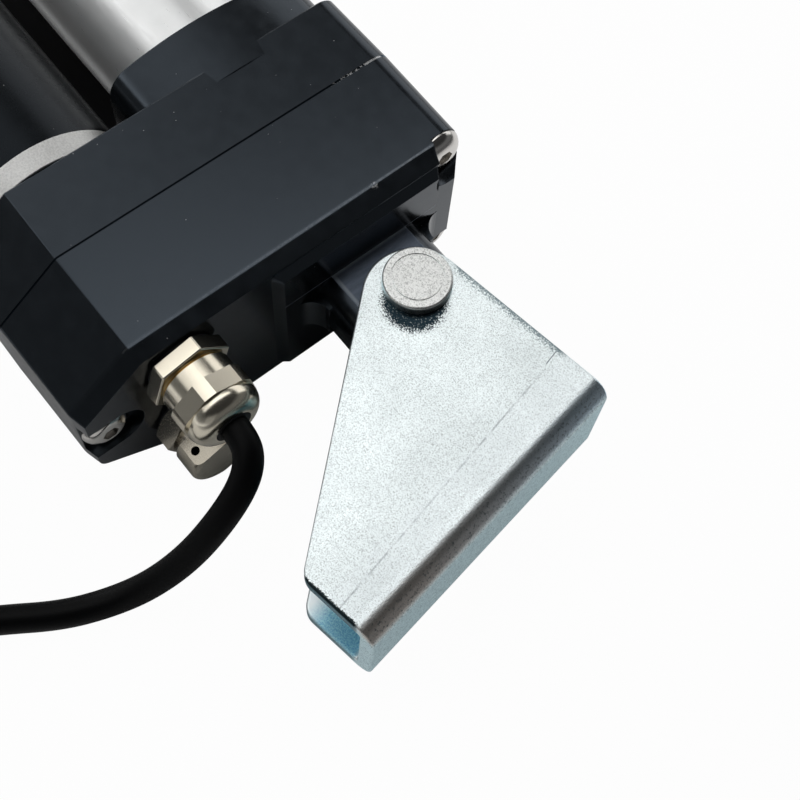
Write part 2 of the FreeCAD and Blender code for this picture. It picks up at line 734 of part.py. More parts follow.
def bearing_outer(x0, width, outer):
    """Outer ring of a sealed bearing, with a shield on each side."""
    track = outer - RING_THICK
    shield = outer - 2 * RING_THICK
    edge = width / 6
    profile = [
        (x0, outer),
        (x0 + width, outer),
        (x0 + width, shield),
        (x0 + width - edge, shield),
        (x0 + width - edge, track),
        (x0 + edge, track),
        (x0 + edge, shield),
        (x0, shield),
    ]
    return turned(profile)


def bearing_inner(x0, width, outer, bore):
    """Inner ring of a sealed bearing."""
    return sleeve(x0, x0 + width, outer - 2 * RING_THICK - LOOSE_GAP, bore)


def lead_screw():
    profile = [
        (REAR_BEARING - LOCK_NUT_LENGTH, 0),
        (REAR_BEARING - LOCK_NUT_LENGTH, SCREW_LEAD_R),
        (GEAR_HUB, SCREW_LEAD_R),
        (GEAR_HUB, GEAR_SEAT_R),
        (COLLAR, GEAR_SEAT_R),
        (COLLAR, COLLAR_R),
        (FRONT_BEARING, COLLAR_R),
        (FRONT_BEARING, FRONT_JOURNAL_R),
        (FRONT_BEARING_END, FRONT_JOURNAL_R),
        (FRONT_BEARING_END, SCREW_LEAD_R),
        (SCREW_END - SCREW_TIP, SCREW_LEAD_R),
        (SCREW_END, SCREW_LEAD_R - SCREW_TIP),
        (SCREW_END, 0),
    ]
    return turned(profile)


def screw_lock_nut():
    return sleeve(REAR_BEARING - LOCK_NUT_LENGTH, REAR_BEARING, LOCK_NUT_R, SCREW_LEAD_R)


def screw_gear():
    teeth = gear(SCREW_GEAR_TEETH, SCREW_GEAR, COLLAR, 0, 0, GEAR_SEAT_R)
    hub_r = REAR_BEARING_R - 2 * RING_THICK - LOOSE_GAP
    return fuse([teeth, sleeve(GEAR_HUB, COLLAR, hub_r, GEAR_SEAT_R)])


def idler_gear():
    bore = IDLER_SHAFT_R + RUNNING_GAP
    turn = meshing_turn(IDLER_PINION_TEETH)
    pinion = gear(IDLER_PINION_TEETH, SCREW_GEAR, WHEEL_END, IDLER_Y, turn, bore)
    wheel = gear(IDLER_WHEEL_TEETH, WHEEL, WHEEL_END, IDLER_Y, 0, bore)
    return fuse([pinion, wheel])


def idler_shaft():
    end = WHEEL_END + SHOULDER_GAP + IDLER_SHAFT_GRIP
    return cyl(REAR_INSIDE - IDLER_SHAFT_GRIP, end, IDLER_SHAFT_R, IDLER_Y)


# Motor

def motor_pinion():
    start = WHEEL - PINION_OVERHANG
    end = WHEEL_END + PINION_OVERHANG
    return gear(PINION_TEETH, start, end, MOTOR_Y, meshing_turn(PINION_TEETH), MOTOR_SHAFT_R)


def motor_end_ring():
    back = FRONT_FACE - MOTOR_BOSS_LENGTH
    bore = MOTOR_SHAFT_R + RUNNING_GAP
    profile = [
        (back, bore),
        (back, MOTOR_BOSS_R),
        (FRONT_FACE, MOTOR_BOSS_R),
        (FRONT_FACE, MOTOR_RING_R),
        (MOTOR_START, MOTOR_RING_R),
        (MOTOR_START, MOTOR_BORE_R),
        (MOTOR_START - MOTOR_RING_DISH, MOTOR_BORE_R),
        (MOTOR_START - MOTOR_RING_DISH, bore),
    ]
    return turned(profile, MOTOR_Y)


def motor_tube():
    return sleeve(MOTOR_START, MOTOR_END, MOTOR_R, MOTOR_BORE_R, MOTOR_Y)


def motor_end_cap():
    bore = MOTOR_SHAFT_R + RUNNING_GAP
    end = MOTOR_END + MOTOR_CAP_LENGTH
    profile = [
        (MOTOR_END - MOTOR_CAP_LIP, MOTOR_BORE_R),
        (MOTOR_END, MOTOR_BORE_R),
        (MOTOR_END, MOTOR_R),
        (end - MOTOR_CAP_EDGE, MOTOR_R),
        (end, MOTOR_R - MOTOR_CAP_EDGE),
        (end, 0),
        (end - MOTOR_CAP_EDGE, 0),
        (end - MOTOR_CAP_EDGE, bore),
        (MOTOR_END, bore),
        (MOTOR_END, MOTOR_BORE_R - MOTOR_WALL),
        (MOTOR_END - MOTOR_CAP_LIP, MOTOR_BORE_R - MOTOR_WALL),
    ]
    return turned(profile, MOTOR_Y)


CORE_X = MOTOR_START + CORE_START
CORE_END = CORE_X + CORE_LENGTH
COMMUTATOR = CORE_END + WINDING_OVERHANG + COMMUTATOR_GAP


def motor_shaft():
    end = MOTOR_END + MOTOR_CAP_LENGTH - MOTOR_CAP_EDGE - SHOULDER_GAP
    return cyl(WHEEL - PINION_OVERHANG, end, MOTOR_SHAFT_R, MOTOR_Y)


def armature_core():
    core = sleeve(CORE_X, CORE_END, CORE_R, MOTOR_SHAFT_R, MOTOR_Y)
    rim = MOTOR_Y + CORE_R
    half = SLOT_WIDTH / 2
    slot = block(CORE_X - OVERCUT, CORE_END + OVERCUT, rim - SLOT_DEPTH, rim + OVERCUT, -half, half)
    for step in range(CORE_SLOTS):
        turned_slot = slot.copy()
        turned_slot.rotate(V(0, MOTOR_Y, 0), ALONG, 360 * step / CORE_SLOTS)
        core = core.cut(turned_slot)
    return core


def armature_windings():
    ends = []
    for x in (CORE_X - WINDING_OVERHANG, CORE_END):
        profile = [
            (x, WINDING_BORE),
            (x, WINDING_R - WINDING_EDGE),
            (x + WINDING_EDGE, WINDING_R),
            (x + WINDING_OVERHANG - WINDING_EDGE, WINDING_R),
            (x + WINDING_OVERHANG, WINDING_R - WINDING_EDGE),
            (x + WINDING_OVERHANG, WINDING_BORE),
        ]
        ends.append(turned(profile, MOTOR_Y))
    return Part.makeCompound(ends)


def commutator():
    drum = sleeve(COMMUTATOR, COMMUTATOR + COMMUTATOR_LENGTH, COMMUTATOR_R, MOTOR_SHAFT_R, MOTOR_Y)
    end = COMMUTATOR + COMMUTATOR_LENGTH + OVERCUT
    rim = MOTOR_Y + COMMUTATOR_R
    half = BAR_GAP / 2
    gap = block(COMMUTATOR + BAR_RISER, end, rim - BAR_DEPTH, rim + OVERCUT, -half, half)
    for step in range(COMMUTATOR_BARS):
        turned_gap = gap.copy()
        turned_gap.rotate(V(0, MOTOR_Y, 0), ALONG, 360 * (step + 0.5) / COMMUTATOR_BARS)
        drum = drum.cut(turned_gap)
    return drum


def motor_magnets():
    points = [V(CORE_X, MOTOR_Y + MAGNET_BORE_R, 0), V(CORE_END, MOTOR_Y + MAGNET_BORE_R, 0),
              V(CORE_END, MOTOR_Y + MOTOR_BORE_R, 0), V(CORE_X, MOTOR_Y + MOTOR_BORE_R, 0)]
    face = Part.Face(Part.makePolygon(points + points[:1]))
    axis = V(0, MOTOR_Y, 0)
    magnets = []
    for middle in (0, 180):
        start = face.copy()
        start.rotate(axis, ALONG, middle - MAGNET_SPREAD / 2)
        magnets.append(start.revolve(axis, ALONG, MAGNET_SPREAD))
    return Part.makeCompound(magnets)


BRUSH_X = COMMUTATOR + (COMMUTATOR_LENGTH + BAR_RISER) / 2
BRUSH_PLATE = BRUSH_X + BRUSH_SIZE / 2 + SHOULDER_GAP


def motor_brushes():
    reach = COMMUTATOR_R + RUNNING_GAP
    half = BRUSH_SIZE / 2
    brushes = []
    for side in (0, 180):
        foot = MOTOR_Y + reach
        brush = block(BRUSH_X - half, BRUSH_X + half, foot - OVERCUT, foot + BRUSH_LENGTH, -half, half)
        brush = brush.cut(cyl(BRUSH_X - BRUSH_SIZE, BRUSH_X + BRUSH_SIZE, reach, MOTOR_Y))
        brush.rotate(V(0, MOTOR_Y, 0), ALONG, side)
        brushes.append(brush)
    return Part.makeCompound(brushes)


def brush_plate():
    end = BRUSH_PLATE + BRUSH_PLATE_THICK
    return sleeve(BRUSH_PLATE, end, MOTOR_BORE_R, COMMUTATOR_R + LOOSE_GAP, MOTOR_Y)


# Tube, rod and nut

def outer_tube():
    return sleeve(TUBE_START, TUBE_END, TUBE_R, TUBE_BORE_R)


def drive_nut():
    outer = TUBE_BORE_R - NUT_WALL_GAP
    body = sleeve(NUT, NUT_END, outer, SCREW_LEAD_R + RUNNING_GAP)
    body = body.cut(cyl(ROD_START, NUT_END + OVERCUT, ROD_R))
    slot_top = -(BOARD_DROP - BOARD_SLOT_GAP)
    half = BOARD_WIDTH / 2 + BOARD_SLOT_GAP
    return body.cut(block(NUT - OVERCUT, NUT_END + OVERCUT, -half, half, -TUBE_R, slot_top))


def extension_rod():
    rod = sleeve(ROD_START, ROD_END, ROD_R, ROD_BORE_R)
    return rod.cut(cross_pin_hole())


def cross_pin_hole():
    return Part.makeCylinder(CROSS_PIN_R, 4 * ROD_R, V(ROD_END - CROSS_PIN_BACK, -2 * ROD_R, 0), V(0, 1, 0))


def rod_end_pin():
    length = 2 * (ROD_R - LOOSE_GAP)
    return Part.makeCylinder(CROSS_PIN_R, length, V(ROD_END - CROSS_PIN_BACK, -length / 2, 0), V(0, 1, 0))


def rod_end_eye():
    plug = cyl(ROD_END - PLUG_DEPTH, ROD_END, ROD_BORE_R)
    neck_shape = cyl(ROD_END, ROD_END + EYE_NECK, ROD_R)
    half = EYE_THICK / 2
    tongue = block(ROD_END + EYE_NECK, EYE, -EYE_R, EYE_R, -half, half)
    tip = post(-half, half, EYE_R, EYE)
    eye = fuse([plug, neck_shape, tongue, tip])
    return eye.cut(post(-EYE_THICK, EYE_THICK, EYE_BORE_R, EYE)).cut(cross_pin_hole())


def front_cap():
    outer = TUBE_R + CAP_WALL
    bush_r = ROD_R + RUNNING_GAP + GUIDE_WALL
    profile = [
        (TUBE_END - CAP_OVERLAP, TUBE_R),
        (TUBE_END - CAP_OVERLAP, outer - CAP_EDGE / 2),
        (TUBE_END - CAP_OVERLAP + CAP_EDGE / 2, outer),
        (CAP_END - CAP_EDGE, outer),
        (CAP_END, outer - CAP_EDGE),
        (CAP_END, ROD_R + WIPER_WALL),
        (CAP_END - WIPER_LENGTH, ROD_R + WIPER_WALL),
        (CAP_END - WIPER_LENGTH, bush_r),
        (TUBE_END, bush_r),
        (TUBE_END, TUBE_R),
    ]
    return turned(profile)


def rod_guide_bush():
    return sleeve(TUBE_END, TUBE_END + BUSH_LENGTH, ROD_R + RUNNING_GAP + GUIDE_WALL, ROD_R + RUNNING_GAP)


def wiper_seal():
    back = CAP_END - WIPER_LENGTH
    bore = ROD_R + RUNNING_GAP
    profile = [
        (back, bore),
        (back, ROD_R + WIPER_WALL),
        (CAP_END, ROD_R + WIPER_WALL),
        (CAP_END, bore + WIPER_LIP_WALL + WIPER_LIP),
        (CAP_END + WIPER_LIP, bore + WIPER_LIP_WALL),
        (CAP_END + WIPER_LIP, bore),
    ]
    return turned(profile)


SWITCH_REAR = NUT - SWITCH_GAP - SWITCH_LENGTH
SWITCH_FRONT = NUT_END + STROKE + SWITCH_GAP
SWITCHES = (SWITCH_REAR, SWITCH_FRONT)


def limit_switch_board():
    half = BOARD_WIDTH / 2
    start = SWITCH_REAR - BOARD_MARGIN
    end = SWITCH_FRONT + SWITCH_LENGTH + BOARD_MARGIN
    return block(start, end, -half, half, -BOARD_DROP - BOARD_THICK, -BOARD_DROP)


def limit_switches():
    half = BOARD_WIDTH / 2 - SWITCH_INSET
    top = -BOARD_DROP + SWITCH_HEIGHT
    return Part.makeCompound([block(x, x + SWITCH_LENGTH, -half, half, -BOARD_DROP, top) for x in SWITCHES])


# Pivot and bracket

def swung(shape):
    """Bracket pieces stand at the angle at which the bracket hangs."""
    shape.rotate(V(0, 0, 0), UP, BRACKET_TURN)
    return shape


def cheek_outline():
    """Plan of the bracket: square right edge, round top, long slope to a short left edge."""
    back = -BRACKET_DEPTH
    centre = V(-BRACKET_TOP_BACK, BRACKET_TOP_R - BRACKET_RIGHT, 0)
    corner = V(back + BRACKET_END_DEPTH, BRACKET_LEFT, 0)
    reach = corner - centre
    turn = math.acos(BRACKET_TOP_R / reach.Length)
    aim = math.atan2(reach.y, reach.x) - turn
    touch = centre + V(math.cos(aim), math.sin(aim), 0) * BRACKET_TOP_R
    start = V(centre.x, -BRACKET_RIGHT, 0)
    middle_aim = (aim - math.pi / 2) / 2
    middle = centre + V(math.cos(middle_aim), math.sin(middle_aim), 0) * BRACKET_TOP_R
    slope = (touch - corner).normalize()
    opening = slope.getAngle(V(-1, 0, 0)) / 2
    run = BRACKET_CORNER / math.tan(opening)
    before = corner + slope * run
    after = corner + V(-run, 0, 0)
    bisector = (slope + V(-1, 0, 0)).normalize()
    hub = corner + bisector * (BRACKET_CORNER / math.sin(opening))
    tip = hub - bisector * BRACKET_CORNER
    edges = [
        Part.LineSegment(V(back, -BRACKET_RIGHT, 0), start).toShape(),
        Part.Arc(start, middle, touch).toShape(),
        Part.LineSegment(touch, before).toShape(),
        Part.Arc(before, tip, after).toShape(),
        Part.LineSegment(after, V(back, BRACKET_LEFT, 0)).toShape(),
        Part.LineSegment(V(back, BRACKET_LEFT, 0), V(back, -BRACKET_RIGHT, 0)).toShape(),
    ]
    return Part.Wire(edges)


def bent_channel():
    """Sheet bent into a U, seen from the side and drawn across its whole width."""
    back = -BRACKET_DEPTH
    front = BRACKET_TOP_R
    outer = BEND_INSIDE + SHEET
    half = BRACKET_HALF
    inside = BRACKET_GAP / 2
    web = back + SHEET
    y = -BRACKET_RIGHT

    def at(x, z):
        return V(x, y, z)

    def bend(x, z, radius, sign):
        """Quarter bend about (x, z) from the cheek to the web."""
        lean = radius * math.sqrt(0.5)
        return Part.Arc(at(x, z + sign * radius), at(x - lean, z + sign * lean), at(x - radius, z)).toShape()

    edges = []
    for sign in (1, -1):
        hub_x = back + outer
        hub_z = sign * (half - outer)
        edges.append(Part.LineSegment(at(front, sign * half), at(hub_x, sign * half)).toShape())
        edges.append(bend(hub_x, hub_z, outer, sign))
        edges.append(bend(hub_x, hub_z, BEND_INSIDE, sign))
        edges.append(Part.LineSegment(at(hub_x, sign * inside), at(front, sign * inside)).toShape())
        edges.append(Part.LineSegment(at(front, sign * inside), at(front, sign * half)).toShape())
    edges.append(Part.LineSegment(at(back, half - outer), at(back, outer - half)).toShape())
    edges.append(Part.LineSegment(at(web, half - outer), at(web, outer - half)).toShape())
    wire = Part.Wire(Part.__sortEdges__(edges))
    return Part.Face(wire).extrude(V(0, BRACKET_LEFT + BRACKET_RIGHT, 0))


def rear_bracket():
    plan = Part.Face(cheek_outline()).extrude(V(0, 0, 2 * BRACKET_HALF))
    plan.translate(V(0, 0, -BRACKET_HALF))
    sheet = bent_channel().common(plan)
    sheet = sheet.cut(post(-BRACKET_HALF - OVERCUT, BRACKET_HALF + OVERCUT, PIN_R + RUNNING_GAP))
    return swung(sheet)


PIN_END = -(BRACKET_HALF + PIN_TAIL)
CLIP_TOP = -BRACKET_HALF - LOOSE_GAP


def pivot_pin():
    top = BRACKET_HALF + PIN_HEAD
    head = post(BRACKET_HALF, top, PIN_HEAD_R)
    rim = [edge for edge in head.Edges if abs(edge.BoundBox.ZMin - top) < SAME_PLACE]
    head = head.makeFillet(PIN_HEAD_EDGE, rim)
    ring_floor = top - PIN_RING_DEPTH
    ring = post(ring_floor, top + OVERCUT, PIN_RING_R)
    head = head.cut(ring.cut(post(ring_floor, top + OVERCUT, PIN_RING_R - PIN_RING_WIDTH)))
    shank = post(PIN_END, BRACKET_HALF, PIN_R)
    tail = [edge for edge in shank.Edges if abs(edge.BoundBox.ZMax - PIN_END) < SAME_PLACE]
    shank = shank.makeChamfer(PIN_HEAD_EDGE, tail)
    groove = post(CLIP_TOP - CLIP_THICK, CLIP_TOP, PIN_R + OVERCUT)
    groove = groove.cut(post(PIN_END, 0, PIN_R - CLIP_GROOVE))
    return fuse([head, shank]).cut(groove)


def pin_clip():
    ring = post(CLIP_TOP - CLIP_THICK, CLIP_TOP, CLIP_R)
    ring = ring.cut(post(PIN_END - OVERCUT, 0, PIN_R - CLIP_GROOVE))
    mouth = block(-CLIP_R - OVERCUT, 0, -CLIP_MOUTH / 2, CLIP_MOUTH / 2, PIN_END - OVERCUT, 0)
    return swung(ring.cut(mouth))


def lug_bush():
    inner = PIN_R + RUNNING_GAP
    half = LUG_THICK / 2
    return post(-half, half, inner + BUSH_WALL).cut(post(-LUG_THICK, LUG_THICK, inner))


def pivot_washers():
    """Slip washers between the lug and the cheeks."""
    washers = []
    for z in (LUG_THICK / 2, -LUG_THICK / 2 - WASHER_THICK):
        disc = post(z, z + WASHER_THICK, WASHER_R)
        washers.append(disc.cut(post(z - OVERCUT, z + WASHER_THICK + OVERCUT, PIN_R + RUNNING_GAP)))
    return Part.makeCompound(washers)


# Gland and vent on the rear face

def gland_washer():
    outer = GLAND_HEX / 2 - SEAL_SETBACK
    return sleeve(REAR_FACE - GLAND_WASHER, REAR_FACE, outer, GLAND_THREAD_R, GLAND_Y, GLAND_UP)


def gland_body():
    y = GLAND_Y
    z = GLAND_UP
    nut = hex_nut(GLAND_HEX_FACE, REAR_FACE - GLAND_WASHER, GLAND_HEX, y, z, GLAND_HEX_TURN)
    thread = cyl(GLAND_FLATS, REAR_INSIDE + GLAND_GRIP, GLAND_THREAD_R, y, z)
    bore = cyl(GLAND_END - OVERCUT, REAR_INSIDE + GLAND_GRIP + OVERCUT, CABLE_R + INSERT_WALL, y, z)
    return fuse([nut, thread]).cut(bore)


def gland_cap():
    y = GLAND_Y
    z = GLAND_UP
    collar = cyl(GLAND_FLATS, GLAND_CAP, GLAND_COLLAR_R, y, z)
    flats = hexagon(GLAND_DOME, GLAND_FLATS, GLAND_CAP_HEX, y, z, GLAND_CAP_TURN)
    flats = flats.common(cyl(GLAND_DOME, GLAND_FLATS, GLAND_LAND_R, y, z))
    shoulder = GLAND_CAP_HEX / 2 - GLAND_DOME_STEP
    bulge_r = GLAND_DOME_BULGE * shoulder + (1 - GLAND_DOME_BULGE) * GLAND_DOME_END_R
    start = V(GLAND_DOME, y + shoulder, z)
    end = V(GLAND_END, y + GLAND_DOME_END_R, z)
    middle = V(GLAND_DOME - GLAND_DOME_BULGE * GLAND_DOME_LENGTH, y + bulge_r, z)
    dome_edges = [
        Part.Arc(start, middle, end).toShape(),
        Part.LineSegment(end, V(GLAND_END, y, z)).toShape(),
        Part.LineSegment(V(GLAND_END, y, z), V(GLAND_DOME, y, z)).toShape(),
        Part.LineSegment(V(GLAND_DOME, y, z), start).toShape(),
    ]
    dome = Part.Face(Part.Wire(dome_edges)).revolve(V(0, y, z), ALONG, 360)
    cap = fuse([collar, flats, dome])
    cap = cap.cut(cyl(GLAND_FLATS, GLAND_CAP + OVERCUT, GLAND_THREAD_R, y, z))
    return cap.cut(cyl(GLAND_END - OVERCUT, GLAND_FLATS + OVERCUT, CABLE_R + INSERT_WALL, y, z))


def gland_insert():
    return sleeve(GLAND_END, GLAND_HEX_FACE, CABLE_R + INSERT_WALL, CABLE_R, GLAND_Y, GLAND_UP)


def cable_entry():
    return cyl(GLAND_END, REAR_INSIDE + GLAND_GRIP, CABLE_R, GLAND_Y, GLAND_UP)


def vent_washer():
    outer = VENT_HEX / 2 - SEAL_SETBACK
    return sleeve(REAR_FACE - VENT_WASHER, REAR_FACE, outer, VENT_THREAD_R, VENT_Y, VENT_Z)


def vent_body():
    nut = hex_nut(VENT_HEX_FACE, REAR_FACE - VENT_WASHER, VENT_HEX, VENT_Y, VENT_Z, 0)
    thread = cyl(REAR_FACE - VENT_WASHER, REAR_INSIDE + VENT_GRIP, VENT_THREAD_R, VENT_Y, VENT_Z)
    spigot = cyl(VENT_CAP, VENT_HEX_FACE, VENT_NECK_R, VENT_Y, VENT_Z)
    bore = cyl(VENT_CAP - OVERCUT, REAR_INSIDE + VENT_GRIP + OVERCUT, VENT_BORE_R, VENT_Y, VENT_Z)
    return fuse([nut, thread, spigot]).cut(bore)


def vent_cap():
    """Round cap with two spanner flats, a breathing hole drilled into each."""
    y = VENT_Y
    z = VENT_Z
    cap = cyl(VENT_END, VENT_CAP, VENT_CAP_R, y, z)
    rim = [edge for edge in cap.Edges if edge.BoundBox.XMax < VENT_END + SAME_PLACE]
    cap = cap.makeFillet(VENT_CAP_EDGE, rim)
    half = VENT_FLATS / 2
    reach = VENT_CAP_R + OVERCUT
    flats = block(VENT_END - OVERCUT, VENT_CAP + OVERCUT, y - reach, y + reach, z - half, z + half)
    flats.rotate(V(0, y, z), ALONG, VENT_FLATS_TURN)
    cap = cap.common(flats)
    hole_x = VENT_END + VENT_HOLE_BACK
    chamber_end = hole_x - VENT_HOLE_R - VENT_CHAMBER_PAST
    cap = cap.cut(cyl(chamber_end, VENT_CAP + OVERCUT, VENT_CHAMBER_R, y, z))
    drill = Part.makeCylinder(VENT_HOLE_R, VENT_CAP_R, V(hole_x, y + VENT_HOLE_ASIDE, z), UP)
    for turn in (VENT_FLATS_TURN, VENT_FLATS_TURN + 180):
        side_hole = drill.copy()
        side_hole.rotate(V(hole_x, y, z), ALONG, turn)
        cap = cap.cut(side_hole)
    return cap


# Cable

def rounded_path(points):
    """Wire of straight runs joined by arcs as large as the runs allow, and its length."""
    points = [V(*point) for point in points]
    edges = []
    radii = []
    start = points[0]
    for before, here, after in zip(points, points[1:], points[2:]):
        back = before - here
        ahead = after - here
        half = back.getAngle(ahead) / 2
        run = CABLE_BEND_SHARE * min(back.Length, ahead.Length)
        radius = run * math.tan(half)
        radii.append(radius)
        back.normalize()
        ahead.normalize()
        bisector = (back + ahead).normalize()
        centre = here + bisector * (radius / math.sin(half))
        edges.append(Part.LineSegment(start, here + back * run).toShape())
        edges.append(Part.Arc(here + back * run, centre - bisector * radius, here + ahead * run).toShape())
        start = here + ahead * run
    edges.append(Part.LineSegment(start, points[-1]).toShape())
    print("cable bend radii", [round(radius, 1) for radius in radii])
    return Part.Wire(edges)


def cable():
    path = rounded_path(CABLE_ROUTE)
    aim = V(*CABLE_ROUTE[1]) - V(*CABLE_ROUTE[0])
    section = Part.Wire([Part.makeCircle(CABLE_R, V(*CABLE_ROUTE[0]), aim)])
    tube = path.makePipeShell([section], True, True)
    print("cable tube length", round(path.Length, 1), "volume ratio",
          round(tube.Volume / (math.pi * CABLE_R ** 2 * path.Length), 4))
    return tube


def coil_point(angle, radius, z):
    turn = math.radians(angle)
    return V(COIL_CENTRE[0] + radius * math.cos(turn), COIL_CENTRE[1] + radius * math.sin(turn), z)


def cable_coil():
    bottom = FLOOR + COIL_LIFT
    outer = post(bottom, bottom + COIL_HEIGHT, COIL_R + COIL_HALF_BAND, *COIL_CENTRE)
    top = bottom + COIL_HEIGHT
    return outer.cut(post(bottom - OVERCUT, top + OVERCUT, COIL_R - COIL_HALF_BAND, *COIL_CENTRE))


def tail_ends():
    """Where the cable's end leaves the coil, where it meets the plug, and its way on the ground."""
    turn = math.radians(TAIL_ANGLE)
    along = V(math.sin(turn), -math.cos(turn), 0)
    leave_z = FLOOR + COIL_LIFT + COIL_HEIGHT - CABLE_R
    leave = coil_point(TAIL_ANGLE, COIL_R + COIL_HALF_BAND / 2, leave_z) + along * TAIL_SKIP
    meet = leave + along * TAIL_RUN
    meet.z = FLOOR + CABLE_R
    return leave, meet, along


def cable_tail():
    leave, meet, along = tail_ends()
    return Part.makeCylinder(CABLE_R, (meet - leave).Length, leave, meet - leave)


def cable_connector():
    """Flat two-way plug lying on the ground at the end of the cable."""
    leave, meet, along = tail_ends()
    half = PLUG_WIDTH / 2
    body = block(0, PLUG_LENGTH, -half, half, -CABLE_R, CABLE_R)
    long_edges = [edge for edge in body.Edges if edge.BoundBox.XLength > PLUG_LENGTH / 2]
    body = body.makeFillet(PLUG_ROUND, long_edges)
    narrow = PLUG_NOSE_WIDTH / 2
    low = PLUG_NOSE_HEIGHT / 2
    nose = block(PLUG_LENGTH / 2, PLUG_LENGTH + PLUG_NOSE_LENGTH, -narrow, narrow, -low, low)
    plug = fuse([body, nose])
    plug.rotate(V(0, 0, 0), UP, math.degrees(math.atan2(along.y, along.x)))
    plug.translate(meet)
    return plug


def cable_tie():
    """Strap round the coil's turns."""
    outer = COIL_HALF_BAND + TIE_GAP + TIE_THICK
    inner = COIL_HALF_BAND + TIE_GAP
    middle = COIL_LIFT + COIL_HEIGHT / 2
    tall = COIL_HEIGHT / 2 + TIE_GAP
    half = TIE_WIDTH / 2
    strap = block(COIL_R - outer, COIL_R + outer, -half, half, -tall - TIE_THICK, tall + TIE_THICK)
    strap = strap.cut(block(COIL_R - inner, COIL_R + inner, -half - OVERCUT, half + OVERCUT, -tall, tall))
    strap.rotate(V(0, 0, 0), UP, TIE_ANGLE)
    strap.translate(V(COIL_CENTRE[0], COIL_CENTRE[1], FLOOR + middle))
    return strap


CORD_NODES = ("cable", "cable_coil", "cable_tail", "cable_connector", "cable_tie")


def pieces():
    """Every piece by name."""
    rear_inner = bearing_inner(REAR_BEARING, REAR_BEARING_WIDTH, REAR_BEARING_R, SCREW_LEAD_R)
    front_inner = bearing_inner(FRONT_BEARING, FRONT_BEARING_WIDTH, FRONT_BEARING_R, FRONT_JOURNAL_R)
    return {
        "rear_housing": rear_housing(),
        "front_housing": front_housing(),
        "housing_gasket": housing_gasket(),
        "housing_screws": housing_screws(),
        "rear_bearing_outer": bearing_outer(REAR_BEARING, REAR_BEARING_WIDTH, REAR_BEARING_R),
        "rear_bearing_inner": rear_inner,
        "front_bearing_outer": bearing_outer(FRONT_BEARING, FRONT_BEARING_WIDTH, FRONT_BEARING_R),
        "front_bearing_inner": front_inner,
        "lead_screw": lead_screw(),
        "screw_lock_nut": screw_lock_nut(),
        "screw_gear": screw_gear(),
        "idler_gear": idler_gear(),
        "idler_shaft": idler_shaft(),
        "motor_pinion": motor_pinion(),
        "motor_shaft": motor_shaft(),
        "armature_core": armature_core(),
        "armature_windings": armature_windings(),
        "commutator": commutator(),
        "motor_magnets": motor_magnets(),
        "motor_brushes": motor_brushes(),
        "brush_plate": brush_plate(),
        "motor_end_ring": motor_end_ring(),
        "motor_tube": motor_tube(),
        "motor_end_cap": motor_end_cap(),
        "outer_tube": outer_tube(),
        "drive_nut": drive_nut(),
        "extension_rod": extension_rod(),
        "rod_end_pin": rod_end_pin(),
        "rod_end_eye": rod_end_eye(),
        "front_cap": front_cap(),
        "rod_guide_bush": rod_guide_bush(),
        "wiper_seal": wiper_seal(),
        "limit_switch_board": limit_switch_board(),
        "limit_switches": limit_switches(),
        "rear_bracket": rear_bracket(),
        "pivot_pin": pivot_pin(),
        "pin_clip": pin_clip(),
        "lug_bush": lug_bush(),
        "pivot_washers": pivot_washers(),
        "gland_washer": gland_washer(),
        "gland_body": gland_body(),
        "gland_cap": gland_cap(),
        "gland_insert": gland_insert(),
        "vent_washer": vent_washer(),
        "vent_body": vent_body(),
        "vent_cap": vent_cap(),
        "cable_entry": cable_entry(),
        "cable": cable(),
        "cable_coil": cable_coil(),
        "cable_tail": cable_tail(),
        "cable_connector": cable_connector(),
        "cable_tie": cable_tie(),
    }


def footprint_shift(shapes):
    """Move that puts the middle of the actuator's footprint, without its cable, at the origin."""
    box = FreeCAD.BoundBox()
    for name, shape in shapes.items():
        if name not in CORD_NODES:
            box.add(shape.optimalBoundingBox(False, False))
    return V(-(box.XMin + box.XMax) / 2, -(box.YMin + box.YMax) / 2, -box.ZMin)


SHAPES = pieces()
SHIFT = footprint_shift(SHAPES)
os.makedirs("parts", exist_ok=True)
for node, shape in SHAPES.items():
    shape.translate(SHIFT)
    shape.exportStep(f"parts/{node}.step")
print("shift", [round(value, 4) for value in SHIFT])
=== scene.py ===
import json
import math

import bmesh
import bpy
from mathutils import Matrix, Vector


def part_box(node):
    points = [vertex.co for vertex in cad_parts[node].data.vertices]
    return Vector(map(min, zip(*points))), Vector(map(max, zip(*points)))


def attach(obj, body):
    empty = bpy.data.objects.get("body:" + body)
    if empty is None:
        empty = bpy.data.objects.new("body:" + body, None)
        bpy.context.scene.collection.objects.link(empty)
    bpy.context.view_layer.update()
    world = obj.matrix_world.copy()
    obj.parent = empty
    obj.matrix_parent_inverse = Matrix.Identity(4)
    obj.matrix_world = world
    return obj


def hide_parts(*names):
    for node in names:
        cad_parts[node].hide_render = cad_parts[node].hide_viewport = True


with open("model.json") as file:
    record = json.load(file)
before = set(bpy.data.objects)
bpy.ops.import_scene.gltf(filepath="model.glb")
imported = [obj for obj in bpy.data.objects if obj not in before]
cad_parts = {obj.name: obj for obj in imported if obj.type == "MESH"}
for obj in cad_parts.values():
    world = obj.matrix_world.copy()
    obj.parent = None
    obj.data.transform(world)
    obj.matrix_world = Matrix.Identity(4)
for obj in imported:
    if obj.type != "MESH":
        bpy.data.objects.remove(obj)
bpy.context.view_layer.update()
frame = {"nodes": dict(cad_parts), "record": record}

# Lengths below are in millimetres from the pivot axis at the housing's mid-height,
# +X towards the rod, +Y towards the motor, +Z up, unless a comment says metres.
MM = 0.001
PIN_LOW, PIN_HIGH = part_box("pivot_pin")
BRACKET_LOW, BRACKET_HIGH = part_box("rear_bracket")
